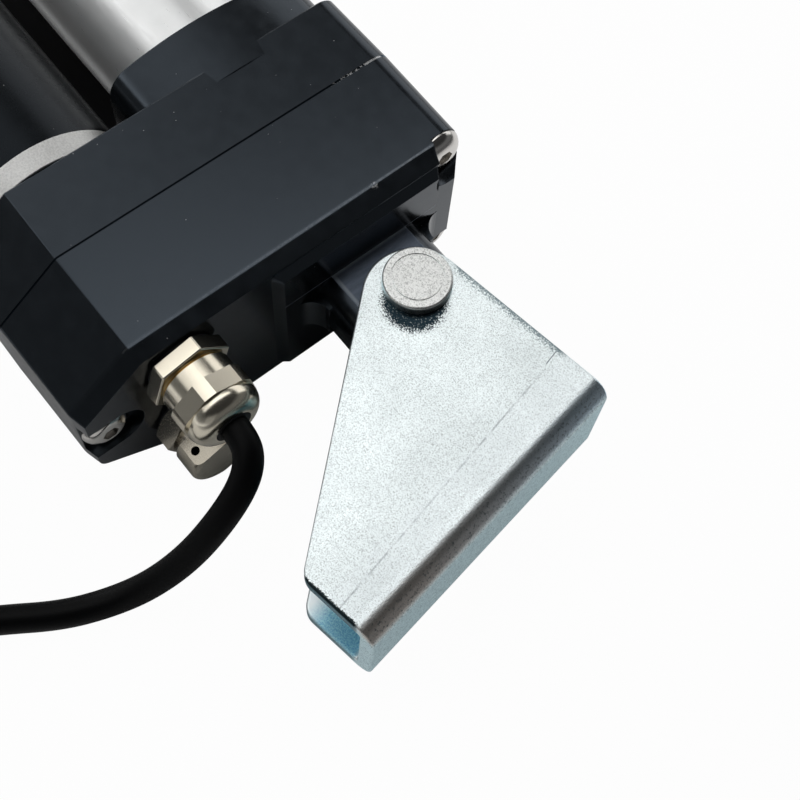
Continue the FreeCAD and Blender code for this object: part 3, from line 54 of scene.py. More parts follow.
HOME = Vector((
    (PIN_LOW.x + PIN_HIGH.x) / 2,
    (PIN_LOW.y + PIN_HIGH.y) / 2,
    (BRACKET_LOW.z + BRACKET_HIGH.z) / 2,
))
FLOOR = -HOME.z / MM
BODY_OF = {node: body for body, nodes in frame["record"]["behaviour"]["bodies"].items() for node in nodes}
NODE_SLOT = {entry["node"]: entry["material_slot"] for entry in frame["record"]["subparts"]}


def at(x, y, z):
    """A place in the scene from millimetres about the pivot."""
    return HOME + Vector((x, y, z)) * MM


def put(name, data):
    """A new object in the scene."""
    thing = bpy.data.objects.new(name, data)
    bpy.context.scene.collection.objects.link(thing)
    return thing


# Camera, at the photograph's viewing angle; the clipping distances are in metres
CAMERA_PLACE = (-86.998, 89.020, 245.029)
CAMERA_HEADING = math.radians(-45.403)
CAMERA_DIP = math.radians(66.785)
CAMERA_ROLL = math.radians(6.981)
CAMERA_LENS = 59.829
CAMERA_SENSOR = 36.0
CAMERA_NEAR = 0.01
CAMERA_FAR = 50.0


def make_camera():
    data = bpy.data.cameras.new("camera")
    data.lens = CAMERA_LENS
    data.sensor_width = CAMERA_SENSOR
    data.clip_start = CAMERA_NEAR
    data.clip_end = CAMERA_FAR
    level = math.cos(CAMERA_DIP)
    look = Vector((
        level * math.cos(CAMERA_HEADING),
        level * math.sin(CAMERA_HEADING),
        -math.sin(CAMERA_DIP),
    ))
    side = look.cross(Vector((0, 0, 1))).normalized()
    above = side.cross(look)
    right = side * math.cos(CAMERA_ROLL) + above * math.sin(CAMERA_ROLL)
    up = above * math.cos(CAMERA_ROLL) - side * math.sin(CAMERA_ROLL)
    turn = Matrix((right, up, -look)).transposed().to_4x4()
    camera = put("camera", data)
    camera.matrix_world = Matrix.Translation(at(*CAMERA_PLACE)) @ turn
    bpy.context.scene.camera = camera


# Materials

class Finish:
    """One procedural material, put together from named textures and masks."""

    def __init__(self, name, **sockets):
        self.material = bpy.data.materials.new(name)
        self.material.use_nodes = True
        self.tree = self.material.node_tree
        self.shader = self.tree.nodes["Principled BSDF"]
        self.normal = None
        for socket, value in sockets.items():
            self.shader.inputs[socket.replace("_", " ")].default_value = value
        self.place = self.add("ShaderNodeTexCoord").outputs["Object"]

    def add(self, kind, **settings):
        node = self.tree.nodes.new(kind)
        for name, value in settings.items():
            setattr(node, name, value)
        return node

    def feed(self, socket, value):
        if isinstance(value, bpy.types.NodeSocket):
            self.tree.links.new(value, socket)
        else:
            socket.default_value = value

    def stretched(self, x, y, z):
        """Coordinates scaled apart, for grain that runs one way."""
        node = self.add("ShaderNodeVectorMath", operation="MULTIPLY")
        self.feed(node.inputs[0], self.place)
        node.inputs[1].default_value = (x, y, z)
        return node.outputs[0]

    def noise(self, size, detail=3.0, rough=0.55, place=None):
        """Cloudy texture, 0 to 1, of features about this many millimetres across."""
        node = self.add("ShaderNodeTexNoise")
        self.feed(node.inputs["Vector"], place or self.place)
        node.inputs["Scale"].default_value = 1 / (size * MM)
        node.inputs["Detail"].default_value = detail
        node.inputs["Roughness"].default_value = rough
        return node.outputs["Fac"]

    def cells(self, size):
        """Distance to scattered points this many millimetres apart, as a share of that spacing."""
        node = self.add("ShaderNodeTexVoronoi")
        self.feed(node.inputs["Vector"], self.place)
        node.inputs["Scale"].default_value = 1 / (size * MM)
        return node.outputs["Distance"]

    def calc(self, operation, first, second):
        node = self.add("ShaderNodeMath", operation=operation)
        self.feed(node.inputs[0], first)
        self.feed(node.inputs[1], second)
        return node.outputs[0]

    def times(self, first, *others):
        """Product of masks."""
        for other in others:
            first = self.calc("MULTIPLY", first, other)
        return first

    def plus(self, first, second):
        return self.calc("ADD", first, second)

    def either(self, first, second):
        """The larger of two masks."""
        return self.calc("MAXIMUM", first, second)

    def span(self, value, low, high, to_low=0.0, to_high=1.0):
        """value's range from low to high, turned into another range."""
        node = self.add("ShaderNodeMapRange", clamp=True)
        self.feed(node.inputs["Value"], value)
        numbers = {"From Min": low, "From Max": high, "To Min": to_low, "To Max": to_high}
        for socket, number in numbers.items():
            node.inputs[socket].default_value = number
        return node.outputs["Result"]

    def ragged(self, mask, grit, reach, low, high, share=1.0):
        """A soft mask broken up by a texture, which shifts it by up to this reach, and made crisp."""
        shifted = self.plus(mask, self.span(grit, 0.3, 0.7, -reach, reach))
        return self.span(shifted, low, high, 0.0, share)

    def mix(self, share, first, second):
        """Colour between two colours."""
        node = self.add("ShaderNodeMix", data_type="RGBA")
        self.feed(node.inputs["Factor"], share)
        self.feed(node.inputs[6], first)
        self.feed(node.inputs[7], second)
        return node.outputs[2]

    def along(self, x, y, z):
        """Distance of the surface point from the pivot along a direction, in millimetres."""
        node = self.add("ShaderNodeVectorMath", operation="DOT_PRODUCT")
        self.feed(node.inputs[0], self.place)
        node.inputs[1].default_value = (x, y, z)
        offset = HOME.dot(Vector((x, y, z)))
        return self.times(self.calc("SUBTRACT", node.outputs["Value"], offset), 1 / MM)

    def band(self, value, low, high, soft):
        """1 between two limits, falling off to 0 over a soft edge."""
        rise = self.span(value, low - soft, low)
        fall = self.span(value, high, high + soft, 1, 0)
        return self.times(rise, fall)

    def spot(self, point, radius, soft):
        """1 near a point given in millimetres about the pivot, 0 away from it."""
        node = self.add("ShaderNodeVectorMath", operation="DISTANCE")
        self.feed(node.inputs[0], self.place)
        node.inputs[1].default_value = at(*point)
        return self.span(node.outputs["Value"], radius * MM, (radius + soft) * MM, 1, 0)

    def eased_normal(self, radius):
        """Rounds the look of sharp edges by this many millimetres."""
        node = self.add("ShaderNodeBevel", samples=4)
        node.inputs["Radius"].default_value = radius * MM
        self.normal = node.outputs["Normal"]

    def bump(self, height, depth):
        """Relief of this many millimetres, on top of any relief before it."""
        node = self.add("ShaderNodeBump")
        node.inputs["Strength"].default_value = 1.0
        node.inputs["Distance"].default_value = depth * MM
        self.feed(node.inputs["Height"], height)
        if self.normal:
            self.feed(node.inputs["Normal"], self.normal)
        self.normal = node.outputs["Normal"]
        self.feed(self.shader.inputs["Normal"], self.normal)

    def colour(self, value):
        self.feed(self.shader.inputs["Base Color"], value)

    def roughness(self, value):
        self.feed(self.shader.inputs["Roughness"], value)


def grey(level, blue=0.0):
    return (level, level * (1 + blue * 0.5), level * (1 + blue), 1)


def scaled(colour, share=1.0):
    """A colour at a share of its brightness."""
    return (*(part * share for part in colour), 1)


# In the values for materials below, two limits are those between which a mask rises or falls,
# and three are the lower and upper limit and the soft edge of a band.

# Black paint: the widths of its eased edges, clouds, dust and peel, and the peel's height
PAINT_TINT = (0.70, 0.84, 1.0, 1)
PAINT_EDGE = 0.2
PAINT_CLOUD = 9
GLOSS_CLOUD = 3.5
DUST_SPACING = 3.3
DUST_PATCH = 14
DUST_TONE = 0.30
PEEL_SIZE = 0.45
PEEL_RELIEF = 0.004
CASING_FLECKS = 0.7


def painted(name, level, rough, ior=1.6, with_marks_and_highlights=False):
    """Black paint on a casting: fine peel, cloudy gloss and a few pale dust specks."""
    finish = Finish(name, IOR=ior, Specular_Tint=PAINT_TINT)
    finish.eased_normal(PAINT_EDGE)
    cloud = finish.noise(PAINT_CLOUD, detail=4)
    base = finish.mix(cloud, grey(level * 0.8, 0.3), grey(level * 1.3, 0.4))
    specks = finish.span(finish.cells(DUST_SPACING), 0.024, 0.046, 1, 0)
    dusty = finish.span(finish.noise(DUST_PATCH, detail=1), 0.43, 0.52)
    base = finish.mix(finish.times(specks, dusty), base, grey(DUST_TONE))
    gloss = finish.span(finish.noise(GLOSS_CLOUD), 0.3, 0.7, rough - 0.03, rough + 0.04)
    if with_marks_and_highlights:
        flecks = finish.noise(CASING_FLECKS, rough=0.7)
        base = rubbed_edge(finish, base, flecks)
        base = seam_joint(finish, base, flecks)
        base, gloss = lug_flat_and_highlights(finish, base, gloss)
    finish.colour(base)
    finish.roughness(gloss)
    finish.bump(finish.noise(PEEL_SIZE, detail=2), PEEL_RELIEF)
    return finish


# Top edge of the rear half, rubbed most at its right end, and one chip in it
RUBBED_EDGE = 19.5
RUB_X = (RUBBED_EDGE - 0.12, RUBBED_EDGE + 0.12, 0.14)
RUB_HEIGHT = (20.0, 20.4)
RUB_FADE = (-15, 45)
RUB_TONE = 0.13
EDGE_CHIP = (19.2, -4.3, 21.1)
EDGE_CHIP_RADIUS = 0.35
EDGE_CHIP_FADE = 0.55
EDGE_CHIP_GRAIN = 0.35
EDGE_CHIP_TONE = 0.5


def rubbed_edge(finish, base, flecks):
    """Paint worn along the rear half's top edge, with one chip."""
    x = finish.along(1, 0, 0)
    y = finish.along(0, 1, 0)
    z = finish.along(0, 0, 1)
    rub = finish.times(
        finish.band(x, *RUB_X),
        finish.span(z, *RUB_HEIGHT),
        finish.span(flecks, 0.32, 0.62, 0.25, 1),
        finish.span(y, *RUB_FADE, 1.0, 0.25),
    )
    base = finish.mix(rub, base, grey(RUB_TONE))
    broken = finish.span(finish.noise(EDGE_CHIP_GRAIN), 0.48, 0.54)
    chip = finish.times(finish.spot(EDGE_CHIP, EDGE_CHIP_RADIUS, EDGE_CHIP_FADE), broken)
    return finish.mix(chip, base, grey(EDGE_CHIP_TONE))


# Where the gearbox halves meet, and the stretches at its right end that are bare or have lost some paint
SEAM = 42.9
SEAM_X = (SEAM - 0.16, SEAM + 0.16, 0.10)
SEAM_TONE = 0.0003
SEAM_CHIPS_X = (SEAM - 0.30, SEAM + 0.05, 0.12)
SEAM_BARE_Y = (-24.5, -20.8, 0.5)
SEAM_CHIPPED_Y = (-20.8, -13.0, 1.5)
SEAM_CHIP_TONE = 0.45


def seam_joint(finish, base, flecks):
    """Dark joint, which mirrors nothing, with chipped paint at one end."""
    x = finish.along(1, 0, 0)
    y = finish.along(0, 1, 0)
    joint = finish.band(x, *SEAM_X)
    base = finish.mix(joint, base, grey(SEAM_TONE))
    finish.feed(finish.shader.inputs["Metallic"], joint)
    bare = finish.band(y, *SEAM_BARE_Y)
    chipped = finish.times(finish.band(y, *SEAM_CHIPPED_Y), finish.span(flecks, 0.52, 0.56))
    chips = finish.times(finish.band(x, *SEAM_CHIPS_X), finish.either(bare, chipped))
    return finish.mix(chips, base, grey(SEAM_CHIP_TONE))


# Machined flat of the lug: its height, and where it meets the pad and its left border, along which pale
# lines are painted highlights
LUG_FLAT = 8.0
LUG_FOOT = 13.9
LUG_LEFT = 10.2
LUG_FLAT_Z = (LUG_FLAT - 0.1, LUG_FLAT + 0.1, 0.1)
LUG_END_X = (LUG_FOOT - 0.1, LUG_FOOT + 0.1)
LUG_HIGHLIGHT_X = (LUG_FOOT - 0.3, LUG_FOOT, 0.4)
LUG_HIGHLIGHT_Y = (LUG_LEFT - 0.3, LUG_LEFT, 0.4)
LUG_STREAKS = 0.8
LUG_STRETCH = (1, 0.25, 1)
LUG_DARK = (0.11, 0.135, 0.18, 1)
LUG_PALE = (0.17, 0.20, 0.26, 1)
LUG_HIGHLIGHT_TONE = (0.34, 0.38, 0.43, 1)
LUG_ROUGH = 0.5


def lug_flat_and_highlights(finish, base, gloss):
    """The lug's dull machined flat, with painted highlights as paler lines along two borders."""
    x = finish.along(1, 0, 0)
    y = finish.along(0, 1, 0)
    z = finish.along(0, 0, 1)
    flat = finish.times(finish.band(z, *LUG_FLAT_Z), finish.span(x, *LUG_END_X, 1, 0))
    streaks = finish.noise(LUG_STREAKS, place=finish.stretched(*LUG_STRETCH))
    tone = finish.mix(finish.span(streaks, 0.3, 0.7), LUG_DARK, LUG_PALE)
    highlights = finish.either(finish.band(y, *LUG_HIGHLIGHT_Y), finish.band(x, *LUG_HIGHLIGHT_X))
    base = finish.mix(flat, base, finish.mix(highlights, tone, LUG_HIGHLIGHT_TONE))
    return base, finish.either(gloss, finish.times(flat, LUG_ROUGH))


ZINC_TINT = (0.72, 0.93, 1.0, 1)
ZINC_CLOUD = 11
BEND_RELIEF = 0.07


def plated(name, colour, rough, grain, speck, relief=0.05, bent=False):
    """Zinc plate over steel: fine bright and dull grains."""
    finish = Finish(name, Metallic=1.0, Specular_Tint=ZINC_TINT)
    grains = finish.noise(grain, rough=0.7)
    cloud = finish.noise(ZINC_CLOUD)
    base = finish.mix(finish.span(grains, 0.34, 0.53), scaled(colour, 1 - speck), scaled(colour))
    tone = finish.plus(
        finish.span(grains, 0.3, 0.7, 0.08, -0.06),
        finish.span(cloud, 0.3, 0.7, -0.03, 0.03),
    )
    finish.roughness(finish.plus(tone, rough))
    finish.bump(grains, grain * relief)
    if bent:
        sheet = Sheet(finish)
        for layer in SHEET_MARKS_AND_PAINTED_LIGHT:
            base = layer(finish, sheet, base)
        finish.bump(bend_grain(finish, sheet), BEND_RELIEF)
    finish.colour(base)
    return finish


# The bracket's sheet is turned by this angle about the pivot. Depth runs from its web, at -42.5,
# to the pivot, at 0, and across runs from its short end, at -8.5, to its long end, at 58.5.
BRACKET_TURN = math.radians(8.7)
TOP_HEIGHT = (13.5, 13.8)
FLANGE_DEPTH = (-38.6, -37.6)
GRIT = 0.32
BEND_GRAIN = 0.55
BEND_GRAIN_DEPTH = (-38.8, -36.8)


class Sheet:
    """The bracket's own directions, with masks and a texture that its marks and its painted shade share."""

    def __init__(self, finish):
        self.depth = finish.along(math.cos(BRACKET_TURN), math.sin(BRACKET_TURN), 0)
        self.across = finish.along(-math.sin(BRACKET_TURN), math.cos(BRACKET_TURN), 0)
        self.height = finish.along(0, 0, 1)
        self.top = finish.span(self.height, *TOP_HEIGHT)
        self.flanges = finish.span(self.depth, *FLANGE_DEPTH)
        self.grit = finish.noise(GRIT, detail=2, rough=0.7)


def bend_grain(finish, sheet):
    """Coarse grain on the outside of the bend."""
    grain = finish.noise(BEND_GRAIN, rough=0.7)
    return finish.times(grain, finish.span(sheet.depth, *BEND_GRAIN_DEPTH, 1, 0))


# Line that the bending tool left beside the bend, and a scratch that goes on from its right end;
# each runs at a slight lean to the bend
TOOL_LINE = (-30.55, -30.35, 0.12)
TOOL_LEAN = 0.055
TOOL_END = (-3.6, -3.0)
TOOL_GAPS = 2.5
SCRATCH = (-30.27, -30.15, 0.08)
SCRATCH_LEAN = 0.10
SCRATCH_REACH = (-7.1, -4.2, 0.4)
TOOL_TONE = (0.22, 0.25, 0.27, 1)


def tool_marks(finish, sheet, base):
    """The tool's faint line, in places almost gone, and the scratch."""

    def leaning(slope, limits):
        return finish.band(finish.plus(sheet.depth, finish.times(sheet.across, slope)), *limits)

    line = finish.times(
        leaning(TOOL_LEAN, TOOL_LINE),
        finish.span(finish.noise(TOOL_GAPS), 0.38, 0.60, 0.05, 0.60),
        finish.span(sheet.across, *TOOL_END),
    )
    scratch = finish.times(leaning(SCRATCH_LEAN, SCRATCH), finish.band(sheet.across, *SCRATCH_REACH))
    return finish.mix(finish.times(finish.either(line, scratch), sheet.top), base, TOOL_TONE)


PRESSED_STRIP = (-38.0, -31.5, 1.5)
PRESSED_GRAIN = 0.5
PRESSED_TONE = (0.90, 0.96, 0.99, 1)


def pressed_strip(finish, sheet, base):
    """Slightly paler strip between the tool line and the bend."""
    cloud = finish.span(finish.noise(PRESSED_GRAIN, detail=2), 0.3, 0.7, 0.0, 0.35)
    strip = finish.times(finish.band(sheet.depth, *PRESSED_STRIP), sheet.top, cloud)
    return finish.mix(strip, base, PRESSED_TONE)


# Painted shadow beside the pin's head, with a painted reflection of its dark side in the zinc
HEAD_SHADOW_PLACE = (-2.97, 3.15, 14.0)
HEAD_SHADOW_RADIUS = 5.2
HEAD_SHADOW_FADE = 2.6
HEAD_SHADOW_TONE = (0.014, 0.026, 0.034, 1)


def pin_head_shadow(finish, sheet, base):
    """Painted shadow and painted reflection of the pin head's dark side: a dark speckled crescent beside
    the pin's head.
    """
    near = finish.spot(HEAD_SHADOW_PLACE, HEAD_SHADOW_RADIUS, HEAD_SHADOW_FADE)
    head_shade = finish.ragged(near, sheet.grit, 0.45, 0.35, 0.75)
    return finish.mix(finish.times(head_shade, sheet.top), base, HEAD_SHADOW_TONE)


# Painted shade along the short side, where the sheared edge of the sheet rolls over
SHEAR_ACROSS = (-8.6, -5.8)
SHEAR_DEPTH = (-30.0, -4.0, 2.0)
SHEAR_SHADE_TONE = (0.12, 0.17, 0.19, 1)


def sheared_edge_shade(finish, sheet, base):
    """Painted shade, broken into dark speckle, along the short side where the sheared edge rolls over."""
    near = finish.span(sheet.across, *SHEAR_ACROSS, 1, 0)
    edge_shade = finish.ragged(near, sheet.grit, 0.45, 0.40, 0.80, share=0.85)
    edge_shade = finish.times(edge_shade, finish.band(sheet.depth, *SHEAR_DEPTH), sheet.top)
    return finish.mix(edge_shade, base, SHEAR_SHADE_TONE)


BEND_FADE = (-39.8, -38.2)
BEND_HEIGHT = (10.8, 12.0)
BEND_ACROSS = (0, 45)
BEND_COOL = (0.62, 0.80, 0.95, 1)
BEND_WARM = (0.90, 0.76, 0.66, 1)


def bend_tint(finish, sheet, base):
    """Stretched plating on the bend, bluish at the short end and brownish at the long one."""
    bend = finish.times(
        finish.span(sheet.depth, *BEND_FADE, 0.6, 0),
        finish.span(sheet.height, *BEND_HEIGHT),
    )
    tone = finish.mix(finish.span(sheet.across, *BEND_ACROSS), BEND_COOL, BEND_WARM)
    return finish.mix(bend, base, tone)


FLECK_SIZE = 0.55
FLECK_FADE = (-40.4, -38.6)
PIT_SIZE = 1.2
PIT_FADE = (-42.4, -42.0)
FLECK_TONE = (0.10, 0.14, 0.16, 1)


def web_flecks(finish, sheet, base):
    """Dark flecks on the bend and the web, with wider and fainter pits on the web's outside."""
    flecks = finish.span(finish.noise(FLECK_SIZE, detail=4, rough=0.75), 0.54, 0.62, 0.0, 0.65)
    pits = finish.span(finish.noise(PIT_SIZE, detail=4, rough=0.7), 0.50, 0.66, 0.0, 0.28)
    flecks = finish.either(flecks, finish.times(pits, finish.span(sheet.depth, *PIT_FADE, 1, 0)))
    flecks = finish.times(flecks, finish.span(sheet.depth, *FLECK_FADE, 1, 0))
    return finish.mix(flecks, base, FLECK_TONE)


# Blue of the inner faces: partly passivation, partly a painted reflection of something blue
INSIDE_HEIGHT = (-10.8, 10.8, 0.1)
INSIDE_FADE = (-29.0, -25.0)
INSIDE_DARK = (0.24, 0.56, 0.78, 1)
INSIDE_LIGHT = (0.56, 0.92, 1.0, 1)
INSIDE_MOUTH = (0.90, 0.97, 0.98, 1)


def inner_tint_and_reflection(finish, sheet, base):
    """Blue inside the bracket, partly passivation and partly a painted reflection, paler towards its mouth.
    """
    inside = finish.times(finish.band(sheet.height, *INSIDE_HEIGHT), sheet.flanges)
    blue = finish.mix(finish.span(sheet.grit, 0.35, 0.65), INSIDE_DARK, INSIDE_LIGHT)
    tone = finish.mix(finish.span(sheet.depth, *INSIDE_FADE), blue, INSIDE_MOUTH)
    return finish.mix(inside, base, tone)


RIM_ACROSS = (57.3, 58.3)
RIM_HEIGHT = (11.0, 11.5)
RIM_TONE = (0.022, 0.032, 0.036, 1)


def end_rim(finish, sheet, base):
    """Dark burr along the upper flange's long end."""
    rim = finish.ragged(finish.span(sheet.across, *RIM_ACROSS), sheet.grit, 0.25, 0.45, 0.60)
    rim = finish.times(rim, finish.span(sheet.height, *RIM_HEIGHT), sheet.flanges)
    return finish.mix(rim, base, RIM_TONE)


CUT_UPPER = (11.0, 13.0, 0.4)
CUT_LOWER = (-13.0, -11.0, 0.4)
CUT_DARK = (0.05, 0.08, 0.09, 1)
CUT_LIGHT = (0.40, 0.52, 0.56, 1)


def cut_faces(finish, sheet, base):
    """Dark cut faces around both flanges."""
    upper = finish.band(sheet.height, *CUT_UPPER)
    lower = finish.band(sheet.height, *CUT_LOWER)
    cut = finish.times(finish.either(upper, lower), sheet.flanges)
    tone = finish.mix(finish.span(sheet.grit, 0.45, 0.70), CUT_DARK, CUT_LIGHT)
    return finish.mix(cut, base, tone)


# Later marks and painted shade lie over earlier ones
SHEET_MARKS_AND_PAINTED_LIGHT = (
    tool_marks, pressed_strip, pin_head_shadow, sheared_edge_shade, bend_tint,
    web_flecks, inner_tint_and_reflection, end_rim, cut_faces,
)

METAL_CLOUD = 5


def metal(name, colour, rough, grain=0.2, relief=0.004, stretch=None, shine=1.0, mottle=0.0):
    """Bare or polished metal with faint marks, drawn out one way where it is turned or brushed."""
    finish = Finish(name, Metallic=shine)
    place = finish.stretched(*stretch) if stretch else None
    marks = finish.noise(grain, detail=4, rough=0.6, place=place)
    base = finish.mix(finish.noise(METAL_CLOUD), scaled(colour, 0.88), scaled(colour))
    finish.colour(finish.mix(finish.span(marks, 0.35, 0.65, mottle, 0), base, scaled(colour, 0.5)))
    finish.roughness(finish.span(marks, 0.3, 0.7, rough * 0.8, rough * 1.25))
    finish.bump(marks, relief)
    return finish


MOULD_CLOUD = 8
MOULD_IOR = 1.48


def moulded(name, colour, rough, grain=0.5, relief=0.015, sheen=0.5):
    """Rubber or plastic with a faint moulded grain."""
    finish = Finish(name, IOR=MOULD_IOR, Specular_IOR_Level=sheen)
    marks = finish.noise(grain)
    finish.colour(finish.mix(finish.noise(MOULD_CLOUD, detail=2), scaled(colour, 0.8), scaled(colour)))
    finish.roughness(finish.span(marks, 0.3, 0.7, rough - 0.05, rough + 0.05))
    finish.bump(marks, relief)
    return finish


PAINT = painted("black_paint", 0.0030, 0.20)
CASING_PAINT = painted("casing_paint", 0.0030, 0.20, with_marks_and_highlights=True)
MOTOR_PAINT = painted("motor_paint", 0.0040, 0.26, ior=1.28)
ZINC = plated("zinc_plate", (0.86, 0.93, 0.935), 0.34, 0.27, 0.44, bent=True)
PIN_PLATE = plated("pin_plate", (0.84, 0.85, 0.83), 0.34, 0.30, 0.48, relief=0.16)
NICKEL = metal("nickel", (0.80, 0.74, 0.61), 0.20, relief=0.003)
# Nickel darkened as painted shade, for the vent, which lies in the gland's shadow
SHADED_NICKEL = metal("shaded_nickel", (0.50, 0.46, 0.38), 0.24, relief=0.003)
THREAD = metal("thread_brass", (0.74, 0.61, 0.38), 0.22, relief=0.003)
STAINLESS = metal("stainless", (0.72, 0.70, 0.67), 0.18)
CAST = metal("cast_ring", (0.74, 0.74, 0.725), 0.50, grain=0.40, relief=0.08, mottle=0.6)
TUBE = metal(
    "tube_aluminium", (0.95, 0.96, 0.955), 0.34, grain=0.3, relief=0.0015, stretch=(0.05, 1, 1), shine=0.75)
ROD = metal("rod_steel", (0.76, 0.77, 0.78), 0.14, grain=0.25, stretch=(0.1, 1, 1))
STEEL = metal("machined_steel", (0.56, 0.56, 0.57), 0.28)
BRONZE = metal("gear_bronze", (0.62, 0.45, 0.22), 0.30)
COPPER = metal("copper_wire", (0.62, 0.27, 0.13), 0.30)
RUBBER = moulded("rubber", (0.010, 0.010, 0.011), 0.62)
JACKET = moulded("cable_jacket", (0.0022, 0.0024, 0.0028), 0.46, grain=0.35, relief=0.002, sheen=0.10)
NYLON = moulded("nylon", (0.62, 0.61, 0.57), 0.45)
PLASTIC = moulded("black_plastic", (0.012, 0.012, 0.013), 0.42)
BOARD = moulded("circuit_board", (0.02, 0.12, 0.045), 0.35)
FERRITE = moulded("ferrite", (0.04, 0.04, 0.043), 0.55)

SLOT_FINISH = {
    "black_paint": PAINT, "zinc": ZINC, "steel": STEEL, "aluminium": TUBE, "nickel": NICKEL,
    "gear_bronze": BRONZE, "copper": COPPER, "rubber": RUBBER, "cable_jacket": JACKET, "nylon": NYLON,
    "black_plastic": PLASTIC, "board": BOARD, "ferrite": FERRITE,
}


# Pieces

def show(name, mesh, finish, body):
    piece = put(name, mesh)
    mesh.materials.clear()
    mesh.materials.append(finish.material)
    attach(piece, body)
    return piece


def ease_edges(piece, width):
    """Rounds a piece's edges by this many millimetres and keeps its flat faces flat."""
    bevel = piece.modifiers.new("eased edges", "BEVEL")
    bevel.width = width * MM
    bevel.segments = 3
    piece.modifiers.new("flat faces", "WEIGHTED_NORMAL")
    return bevel


# Clean-up of the CAD meshes: points this close are one, faces this flat are one,
# and edges sharper than this are eased
SAME_POINT = 0.002
SAME_PLANE = math.radians(0.4)
SHARP_EDGE = math.radians(28.0)


def dressed(node, finish, edge):
    """A copy of a CAD node with its sharp edges eased by this many millimetres."""
    mesh = frame["nodes"][node].data.copy()
    work = bmesh.new()
    work.from_mesh(mesh)
    bmesh.ops.remove_doubles(work, verts=work.verts, dist=SAME_POINT * MM)
    bmesh.ops.dissolve_limit(
        work, angle_limit=SAME_PLANE, verts=work.verts, edges=work.edges, delimit={"NORMAL"})
    work.to_mesh(mesh)
    work.free()
    mesh.name = node + "_finish"
    mesh.shade_smooth()
    piece = show(node + "_finish", mesh, finish, BODY_OF[node])
    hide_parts(node)
    bevel = ease_edges(piece, edge)
    bevel.limit_method = "ANGLE"
    bevel.angle_limit = SHARP_EDGE
    bevel.use_clamp_overlap = False
    bevel.miter_outer = "MITER_ARC"
    return piece


# Cable gland: its axis, parallel to X, and the end that the cable leaves from
GLAND_END = -1.6
GLAND_Y = 45.8
GLAND_UP = 11.2
# Its hex nut: outer face, face on the washer, width across flats, turn, and eased edge
NUT_FACE = 11.5
NUT_BACK = 15.1
NUT_WIDTH = 15.6
NUT_TURN = 48.0
NUT_EDGE = 0.35
# Thread ridges between the nut and the cap
THREAD_START = 10.65
THREAD_END = 11.6
THREAD_TURNS = 2
THREAD_INSIDE = 6.12
THREAD_ROOT = 6.42
THREAD_CREST = 7.05
THREAD_STEPS = 72
THREAD_SHARP = math.radians(50)


def around_gland(x, radius, angle):
    return at(x, GLAND_Y + radius * math.cos(angle), GLAND_UP + radius * math.sin(angle))


def make_gland_nut():
    """The gland's hex nut with softly rounded edges."""
    mesh = bpy.data.meshes.new("gland_nut")
    corner = NUT_WIDTH / 2 / math.cos(math.pi / 6)
    points = []
    for x in (NUT_FACE, NUT_BACK):
        for step in range(6):
            points.append(around_gland(x, corner, math.radians(NUT_TURN + 60 * step)))
    faces = [tuple(range(6)), tuple(range(11, 5, -1))]
    for step in range(6):
        following = (step + 1) % 6
        faces.append((step, step + 6, following + 6, following))
    mesh.from_pydata(points, [], faces)
    mesh.shade_smooth()
    nut = show("gland_nut", mesh, NICKEL, "gearbox")
    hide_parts("gland_body")
    ease_edges(nut, NUT_EDGE)


def thread_profile():
    """Points (x, radius) around the section of the thread ridges."""
    pitch = (THREAD_END - THREAD_START) / THREAD_TURNS
    profile = [(THREAD_START, THREAD_INSIDE)]
    for turn in range(THREAD_TURNS):
        start = THREAD_START + turn * pitch
        profile.append((start, THREAD_ROOT))
        profile.append((start + 0.40 * pitch, THREAD_CREST))
        profile.append((start + 0.60 * pitch, THREAD_CREST))
    profile.append((THREAD_END, THREAD_ROOT))
    profile.append((THREAD_END, THREAD_INSIDE))
    return profile


def make_thread():
    """Thread ridges that show between the gland's nut and its cap."""
    mesh = bpy.data.meshes.new("gland_thread")
    profile = thread_profile()
    count = len(profile)
    points = []
    faces = []
    for step in range(THREAD_STEPS):
        angle = 2 * math.pi * step / THREAD_STEPS
        points.extend(around_gland(x, radius, angle) for x, radius in profile)
        here = step * count
        following = (step + 1) % THREAD_STEPS * count
        for i in range(count):
            j = (i + 1) % count
            faces.append((here + i, following + i, following + j, here + j))
    mesh.from_pydata(points, [], faces)
    mesh.shade_smooth()
    mesh.set_sharp_from_angle(angle=THREAD_SHARP)
    show("gland_thread", mesh, THREAD, "gearbox")


# Cable: its radius, and the route from the gland to the coil
CABLE_R = 3.0
CABLE_ROUTE = [
    (GLAND_END, GLAND_Y, GLAND_UP),
    (-5.4, GLAND_Y, GLAND_UP),
    (-9.0, 47.7, 10.1),
    (-11.3, 51.4, 7.4),
    (-12.4, 58.0, 1.6),
    (-12.0, 65.6, -6.2),
    (-9.9, 73.8, -13.4),
    (-6.6, 82.0, -17.8),
    (-2.6, 91.2, FLOOR + CABLE_R),
    (4.2, 101.2, FLOOR + CABLE_R),
    (12.4, 114.5, FLOOR + CABLE_R),
    (18.2, 126.5, FLOOR + CABLE_R + 0.5),
    (20.9, 137.5, FLOOR + CABLE_R + 1.0),
]
# The coil's turns: two radii and two layers, with angles in degrees
COIL_CENTRE = (55.0, 126.0)
COIL_START = 161.0
COIL_OUTER = 36.0
COIL_INNER = 30.0
LAYER_LOW = FLOOR + 1.0 + CABLE_R
LAYER_HIGH = LAYER_LOW + 2 * CABLE_R
COIL_STEP = 15.0
# Angles, running clockwise, between which the cable moves inwards, climbs and moves out again
MOVE_IN = (-120.0, -165.0)
CLIMB = (-438.0, -500.0)
MOVE_OUT = (-745.0, -795.0)
